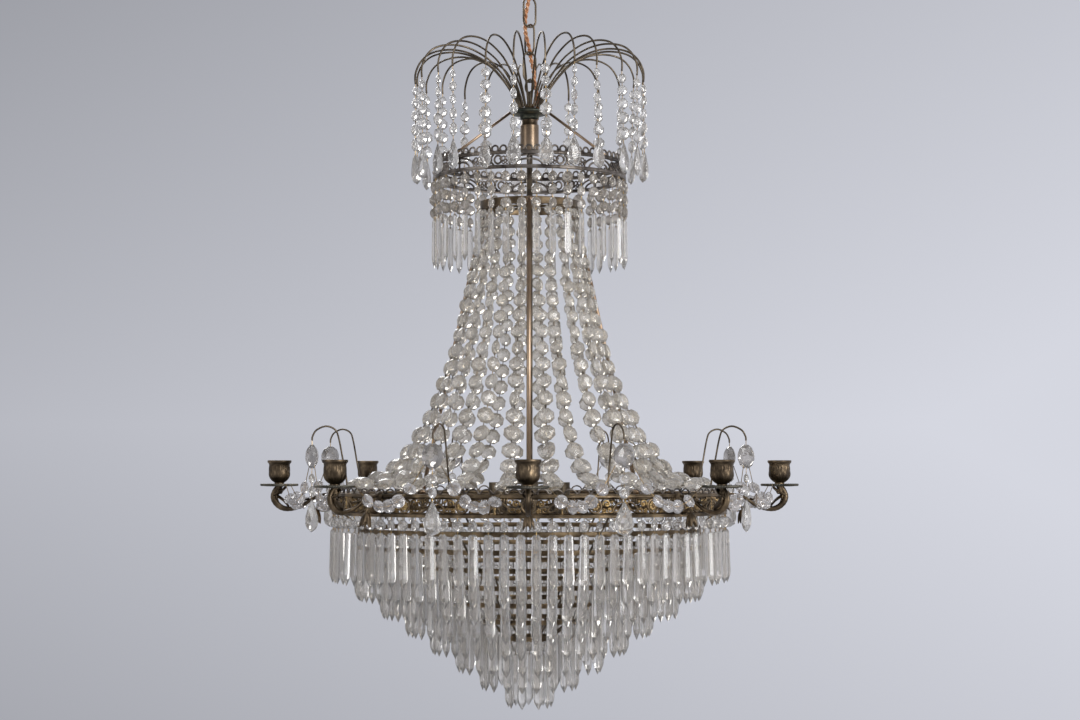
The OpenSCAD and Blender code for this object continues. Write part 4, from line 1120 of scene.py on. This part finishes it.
strut_azimuths = evenly(3)
strut_end_z = upper_z - 3 * MM
band_inner_r = upper_r - BAND_T / 2
struts = rods(around(collar_r + MM, strut_azimuths, collar_z - 7 * MM),
              around(band_inner_r - 2 * MM, strut_azimuths, strut_end_z), 2 * MM, 12)
strut_pads = rods(around(band_inner_r - 3.3 * MM, strut_azimuths, strut_end_z),
                  around(band_inner_r - 0.3 * MM, strut_azimuths, strut_end_z), 2.6 * MM, 12)
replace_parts(make_piece("gallery_struts", joined(struts, strut_pads), rod_brass, "chandelier"),
            "upper_struts")

# %% [markdown]
# The arms. Each is a casting: a scroll that comes out of the gallery, dips under its pan and turns up
# into the stem of the cup. Leaves grow from its bend, and a second curl ends in a bud.

# %% Arm parts
ARM_LINE = np.array([[285.6, -803.6], [292, -803.2], [301, -804.6], [308, -807], [316, -811.6], [325, -817.4],
                     [334, -821.8], [344, -824.2], [354, -824], [362, -820.4], [368.4, -813.6], [370.6, -806],
                     [368.4, -798.6], [364.6, -793.4], [362, -790.8]])
ARM_STEPS = 72
ARM_BEATS = 26
ARM_THICK = np.array([2.6, 2.2, 2.1, 2.2, 2.4, 2.7, 3.0, 3.4, 3.8, 4.2, 4.3, 4.0, 3.6, 3.8, 4.4])
CURL_LINE = np.array([[286, -822], [291, -824.6], [297, -824.2], [302, -821.2], [306, -821.2],
                      [308, -824], [307.6, -827.4]])


def leaf(length, width, lobes, curl, hollow, rows=17, cols=9):
    """A cast leaf that grows along +X from the origin. u runs along it and v across it. The half width is
    sin(0.98 pi u^0.8)^0.7, notched by lobes. The tip curls up by curl u^2 and the sides by hollow v^2."""
    u, v = np.meshgrid(np.linspace(0.02, 1, rows), np.linspace(-1, 1, cols), indexing="ij")
    notch = 1 - 0.22 * np.abs(np.sin(lobes * np.pi * u)) ** 3
    half = width / 2 * np.sin(np.pi * u ** 0.8 * 0.98) ** 0.7 * notch
    rib = 0.10 * width * np.cos(np.pi * v * 2.5) * (1 - u)
    x = length * (u + 0.10 * np.abs(v) * np.sin(np.pi * u))
    top = np.stack([x, v * half, length * curl * u ** 2 + hollow * width * v ** 2 + rib], -1)
    thick = np.array([0, 0, 0.9 * MM])
    grid = np.concatenate([top.reshape(-1, 3), top.reshape(-1, 3) - thick])
    count = rows * cols
    upper = grid_faces(rows, cols, False)
    lower = upper[:, ::-1] + count
    rim = np.concatenate([np.arange(cols), np.arange(2 * cols - 1, count, cols),
                          np.arange(count - 2, count - cols - 1, -1), np.arange(count - 2 * cols, 0, -cols)])
    beyond = np.roll(rim, -1)
    walls = np.stack([beyond, rim, rim + count, beyond + count], -1)
    return grid, np.concatenate([upper, lower, walls])[:, ::-1]


def pitch_turn(degrees):
    """Tips a piece in the XZ plane: a positive angle lifts its +X end."""
    return spin(-degrees, 1)[0]


def bud(length, width):
    """A flower bud that opens along +X like a star: a cup whose lip runs in five points."""
    rows, cols = 14, 40
    u, a = np.meshgrid(np.linspace(0, 1, rows), np.arange(cols) * TURN / cols, indexing="ij")
    petal = 0.5 + 0.5 * np.cos(5 * a)
    radius = width / 2 * np.sin(np.pi * (0.08 + 0.46 * u)) ** 0.8 * (0.82 + 0.18 * u * (2 * petal - 1))
    along = length * u * (0.62 + 0.38 * petal ** 1.5 * u ** 2)
    outer = np.stack([along, radius * np.cos(a), radius * np.sin(a)], -1)
    inner = np.stack([along * 0.93 + 0.8 * MM, radius * 0.8 * np.cos(a), radius * 0.8 * np.sin(a)], -1)[::-1]
    rings = np.concatenate([outer, inner])
    faces = np.concatenate([grid_faces(2 * rows, cols), fan(0, cols, True), fan((2 * rows - 1) * cols, cols)])
    return rings.reshape(-1, 3), faces


# %% Eight arms
arm_root_z = ARM_LINE[0, 1] * MM
arm_path = upright(smooth_path(ARM_LINE * MM, ARM_STEPS))
curl_path = upright(smooth_path(CURL_LINE * MM, 30))
arm_thick = smooth_path(ARM_THICK[:, None] * MM, ARM_STEPS)[:, 0]
beat = 1 + 0.05 * np.cos(np.linspace(0, ARM_BEATS * TURN, ARM_STEPS))
arm_boss = revolved(np.array([[0, 0], [6, 0], [6, 1.4], [4.6, 2.2], [4.6, 3.6], [3.2, 4.6], [0, 5]]) * MM, 24)
arm_boss = moved(arm_boss, spin(90, 1)[0], (main_r + BAND_T / 2 + 0.3 * MM, 0, arm_root_z))
stem_neck = revolved(np.array([[0, -14.5], [3.4, -14.5], [5.0, -12], [5.6, -9], [3.6, -6.8], [4.6, -4.6],
                               [6.2, -2.6], [6.2, -2.0], [0, -2.0]]) * MM + [0, pan_z], 24)
stem_neck = moved(stem_neck, np.eye(3), (cup_axis_r, 0, 0))
arm_shape = joined(
    wire(arm_path, arm_thick * beat, sides=12, flat=0.8), arm_boss, stem_neck,
    moved(leaf(24 * MM, 15 * MM, 3, -0.20, -0.22), pitch_turn(158), (372 * MM, 0, -808 * MM)),
    moved(leaf(26 * MM, 15 * MM, 3, 0.28, 0.2), pitch_turn(-155), (368 * MM, 0, -803 * MM)),
    moved(leaf(17 * MM, 12 * MM, 2, -0.35, -0.2), pitch_turn(-78), (367 * MM, 0, -797 * MM)),
    moved(leaf(18 * MM, 10 * MM, 2, 0.3, 0.2), pitch_turn(-20), (318 * MM, 0, -810 * MM)),
    wire(curl_path, np.linspace(2.6, 1.5, 30) * MM, sides=10),
    moved(leaf(14 * MM, 9 * MM, 2, 0.4, 0.2), pitch_turn(-30), (289 * MM, 0, -825.4 * MM)),
    moved(bud(20 * MM, 17 * MM), pitch_turn(-84), (307.4 * MM, 0, -825.4 * MM)))
for k in range(8):
    arm = round_the_stem(arm_shape, eighths[k:k + 1])
    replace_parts(make_piece(f"arm_{k + 1}", arm, dark_brass, "chandelier"),
                f"candle_arm_{k + 1}")

# %% [markdown]
# Cups and pans. The cup is a turned tulip with a relief, a function of the angle and the height that is added
# to the radius: eight leaves with a rib in the middle of each, and curved grooves above them.

# %% Cups and pans
CUP_PROFILE = np.array([[7.1, -34], [6.9, -33], [7.2, -32], [9.5, -30.5], [12.6, -27], [14.4, -23],
                        [15.2, -19], [15.4, -15], [15.3, -11], [14.9, -8], [15.2, -5.5], [17.0, -3.2],
                        [17.3, -1.4], [17.0, -0.3], [16.4, 0]])
CUP_ROWS = 46
CUP_COLS = 128
CUP_LEAVES = 8
LEAF_FOOT_Z = -31
LEAF_H = 16
GROOVE_FOOT_Z = -15.5
GROOVE_H = 8.5
PAN_COLS = 240
PAN_STRANDS = 48


def cup_shape():
    """The cup, in millimetres until its last line. Leaves stand on the profile's radius, each as far to both
    sides of its middle line as its edge allows. Panels of curved grooves are cut in above them."""
    line = smooth_path(CUP_PROFILE, CUP_ROWS)
    z = line[:, 1:]
    u = np.clip((z - LEAF_FOOT_Z) / LEAF_H, 0, 1)
    a = (np.arange(CUP_COLS) * TURN / CUP_COLS)[None]
    panel = (a * CUP_LEAVES / TURN) % 1
    across = np.abs(panel - 0.5) * 2
    edge = 0.95 * np.sqrt(np.clip(1 - u ** 2.2, 0, 1)) * (u > 0)
    body = np.clip((edge - across) * 5, 0, 1)
    body = body * body * (3 - 2 * body)
    rib = np.exp(-(across / 0.12) ** 2) * 0.5
    leaves = body * (0.7 + rib) * np.sin(np.pi * np.clip(u, 0.06, 0.94))
    share = np.clip((z - GROOVE_FOOT_Z) / GROOVE_H, 0, 1)
    cut_depth = 0.9 * np.sin(np.pi * share) * np.sqrt(np.sin(np.pi * panel))
    grooves = cut_depth * (0.5 - 0.5 * np.cos(TURN * (3 * panel + 0.28 * ((z + 11) / 4) ** 2)))
    radius = line[:, :1] + leaves - grooves
    wall = np.stack([radius * np.cos(a), radius * np.sin(a), line[:, 1:] + 0 * a], -1)
    inside = np.array([[12.2, 0], [11.5, -0.8], [11.5, -24.6], [11.0, -25], [0.0, -25]])
    bore = np.stack([inside[:, :1] * np.cos(a), inside[:, :1] * np.sin(a), inside[:, 1:] + 0 * a], -1)
    base = np.stack([0 * a, 0 * a, -34 + 0 * a], -1)
    rings = np.concatenate([base, wall, bore])
    return rings.reshape(-1, 3) * MM, grid_faces(len(rings), CUP_COLS)


def pan_shape():
    """A dished pan with a rope for its rim: slanting strands, a wave of the angle that moves on with each
    ring of the profile, and as deep as the eighth power of the radius."""
    profile = np.array([[0, 0], [9, 0], [11, -0.4], [18, -1.1], [22.6, -0.7], [24.2, 0.1], [25.6, 0.4],
                        [26.8, 0], [27.2, -1.1], [26.8, -2.2], [25.6, -2.8], [24.2, -2.6], [22.6, -2.9],
                        [18, -3.4], [12, -2.4], [10, -1.6], [0, -1.6]])
    a = (np.arange(PAN_COLS) * TURN / PAN_COLS)[None]
    share = (profile[:, :1] * MM / PAN_R) ** 8
    strands = 0.32 * share * np.cos(PAN_STRANDS * a + 0.9 * np.arange(len(profile))[:, None])
    radius = profile[:, :1] + strands
    height = profile[:, 1:] + strands * np.sign(profile[:, 1:] + 1.1)
    rings = np.stack([radius * np.cos(a), radius * np.sin(a), height], -1)
    return rings.reshape(-1, 3) * MM, grid_faces(len(profile), PAN_COLS)[:, ::-1]


cup_turns = turns_at(eighths) @ spin(chance.random(8) * 60, 2)
cups = copies(cup_shape(), cup_turns, around(cup_axis_r, eighths, cup_z))
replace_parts(make_piece("tulip_cups", cups, dark_brass, "chandelier"), "candle_cups")
pans = copies(pan_shape(), cup_turns, around(cup_axis_r, eighths, pan_z))
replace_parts(make_piece("fluted_pans", pans, olive, "chandelier"), "drip_pans")

# %% [markdown]
# Between the arms a thin wire springs from the shelf, bends over and carries a flat crystal. Swags of
# beads run from there to the pans on both sides, and a pendant swings below it on its own joint.

# %% Sprays
SPRAY_R = 326 * MM
SPRAY_WIRE = 2.6 * MM
SPRAY_RISE = 21.5 * MM
spray_tip_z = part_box("spray_wires")[1].z - SPRAY_RISE
spray_azimuths = evenly(8)
spray_turns = turns_at(spray_azimuths)
spray_foot = np.array([main_r - BAND_T / 2 - 7 * MM, main_z - 0.7 * MM])
BEND_R = 20 * MM
SPRAY_LINE = np.array([[spray_foot[0], spray_foot[1]],
                       [spray_foot[0] + 2.2 * MM, spray_foot[1] + 22 * MM],
                       [spray_foot[0] + 7 * MM, spray_foot[1] + 46 * MM],
                       [SPRAY_R - 1.93 * BEND_R, spray_tip_z + 3 * MM],
                       [SPRAY_R - 1.66 * BEND_R, spray_tip_z + 0.76 * BEND_R],
                       [SPRAY_R - BEND_R, spray_tip_z + BEND_R],
                       [SPRAY_R - 0.32 * BEND_R, spray_tip_z + 0.73 * BEND_R],
                       [SPRAY_R - 0.04 * BEND_R, spray_tip_z + 0.3 * BEND_R],
                       [SPRAY_R, spray_tip_z]])
spray_wires = round_the_stem(wire(upright(smooth_path(SPRAY_LINE, 48)), SPRAY_WIRE / 2), spray_azimuths)
sprays = make_piece("spray_bows", spray_wires, bronze, "chandelier")
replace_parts(sprays, "spray_wires")

PLATE_D = 34 * MM
plate_z = spray_tip_z - 5.3 * MM - PLATE_D / 2
plates = Batch()
plate_turns = spray_turns @ spin(chance.normal(0, 12, 8), 2)
plates.add(cut_bead(12, 0.18, 0.19), plate_turns, around(SPRAY_R, spray_azimuths, plate_z), PLATE_D)
plate_piece = plates.piece("plate_crystals", smoky_crystal, "chandelier", "frosted_crystal")
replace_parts(plate_piece, "spray_plates")

hinge_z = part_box("spray_pendant_1")[1].z - 0.8 * MM
plate_pins = [rods(around(SPRAY_R, spray_azimuths, spray_tip_z + MM),
                   around(SPRAY_R, spray_azimuths, plate_z + PLATE_D / 2 - 2 * MM), PIN_R),
              rods(around(SPRAY_R, spray_azimuths, plate_z - PLATE_D / 2 + 2 * MM),
                   around(SPRAY_R, spray_azimuths, hinge_z + 1.5 * MM), PIN_R)]

# %% Swags
SWAG_BEADS = 5
SWAG_D = 19 * MM
SWAG_SAG = 40 * MM
PIN_CLEAR = 0.9 * MM
swag_out = (PLATE_D / 2 + PIN_CLEAR) * np.sqrt(0.5)
half_step = np.radians(22.5)
swag_stones = Batch()
place_share = np.arange(1, SWAG_BEADS + 1) / (SWAG_BEADS + 1)
place_share = place_share + 0.035 * np.sin(TURN * place_share)
for side in (-1, 1):
    start = np.array([SPRAY_R, side * swag_out, plate_z - swag_out])
    pan_at = np.array([cup_axis_r * np.cos(half_step), side * cup_axis_r * np.sin(half_step), pan_z])
    across = (start - pan_at) * [1, 1, 0]
    stop = pan_at + across / np.linalg.norm(across) * (PAN_R + PIN_CLEAR)
    share = np.concatenate([[0], place_share, [1]])[:, None]
    line = start + (stop - start) * share - np.array([0, 0, 4 * SWAG_SAG]) * share * (1 - share)
    for k in range(SWAG_BEADS):
        tumble = spin(chance.normal(0, 30, 8), 2) @ spin(chance.normal(0, 35, 8), 1)
        tumble = tumble @ spin(chance.random(8) * 45, 0)
        swag_stones.add(rosette, spray_turns @ tumble, spray_turns @ line[k + 1], SWAG_D)
    for k in range(SWAG_BEADS + 1):
        plate_pins.append(rods(spray_turns @ line[k], spray_turns @ line[k + 1], PIN_R))
swags = swag_stones.piece("swag_crystals", swag_crystal, "chandelier", "frosted_crystal")
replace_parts(swags, "swags")
make_piece("spray_pins", joined(*plate_pins), gilt, "chandelier", False)

# %% Pendants
pendant_pear = cut_pear(28 * MM, 46 * MM, 5.6 * MM)
for k in range(8):
    stones, pins = Batch(), []
    azimuth = spray_azimuths[k:k + 1]
    hang(stones, pins, around(SPRAY_R, azimuth, hinge_z), azimuth, [14 * MM, 16 * MM], pendant_pear,
         twist=25, tilt=0)
    pendant = stones.piece(f"pendant_{k + 1}_crystals", clear_crystal, f"pendant_{k + 1}", "crystal")
    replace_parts(pendant, f"spray_pendant_{k + 1}")
    make_piece(f"pendant_{k + 1}_pins", joined(*pins), gilt, f"pendant_{k + 1}", False)

# %% [markdown]
# The spider, the ribs and the lampholders are hidden deep inside. Their plain shapes are right as they
# are, so they keep their own meshes and only get their finish.

# %% Hidden metal
for node, finish in (("spider", brass), ("basket_ribs", bronze), ("lamp_cluster", bronze)):
    refinish(node, finish)
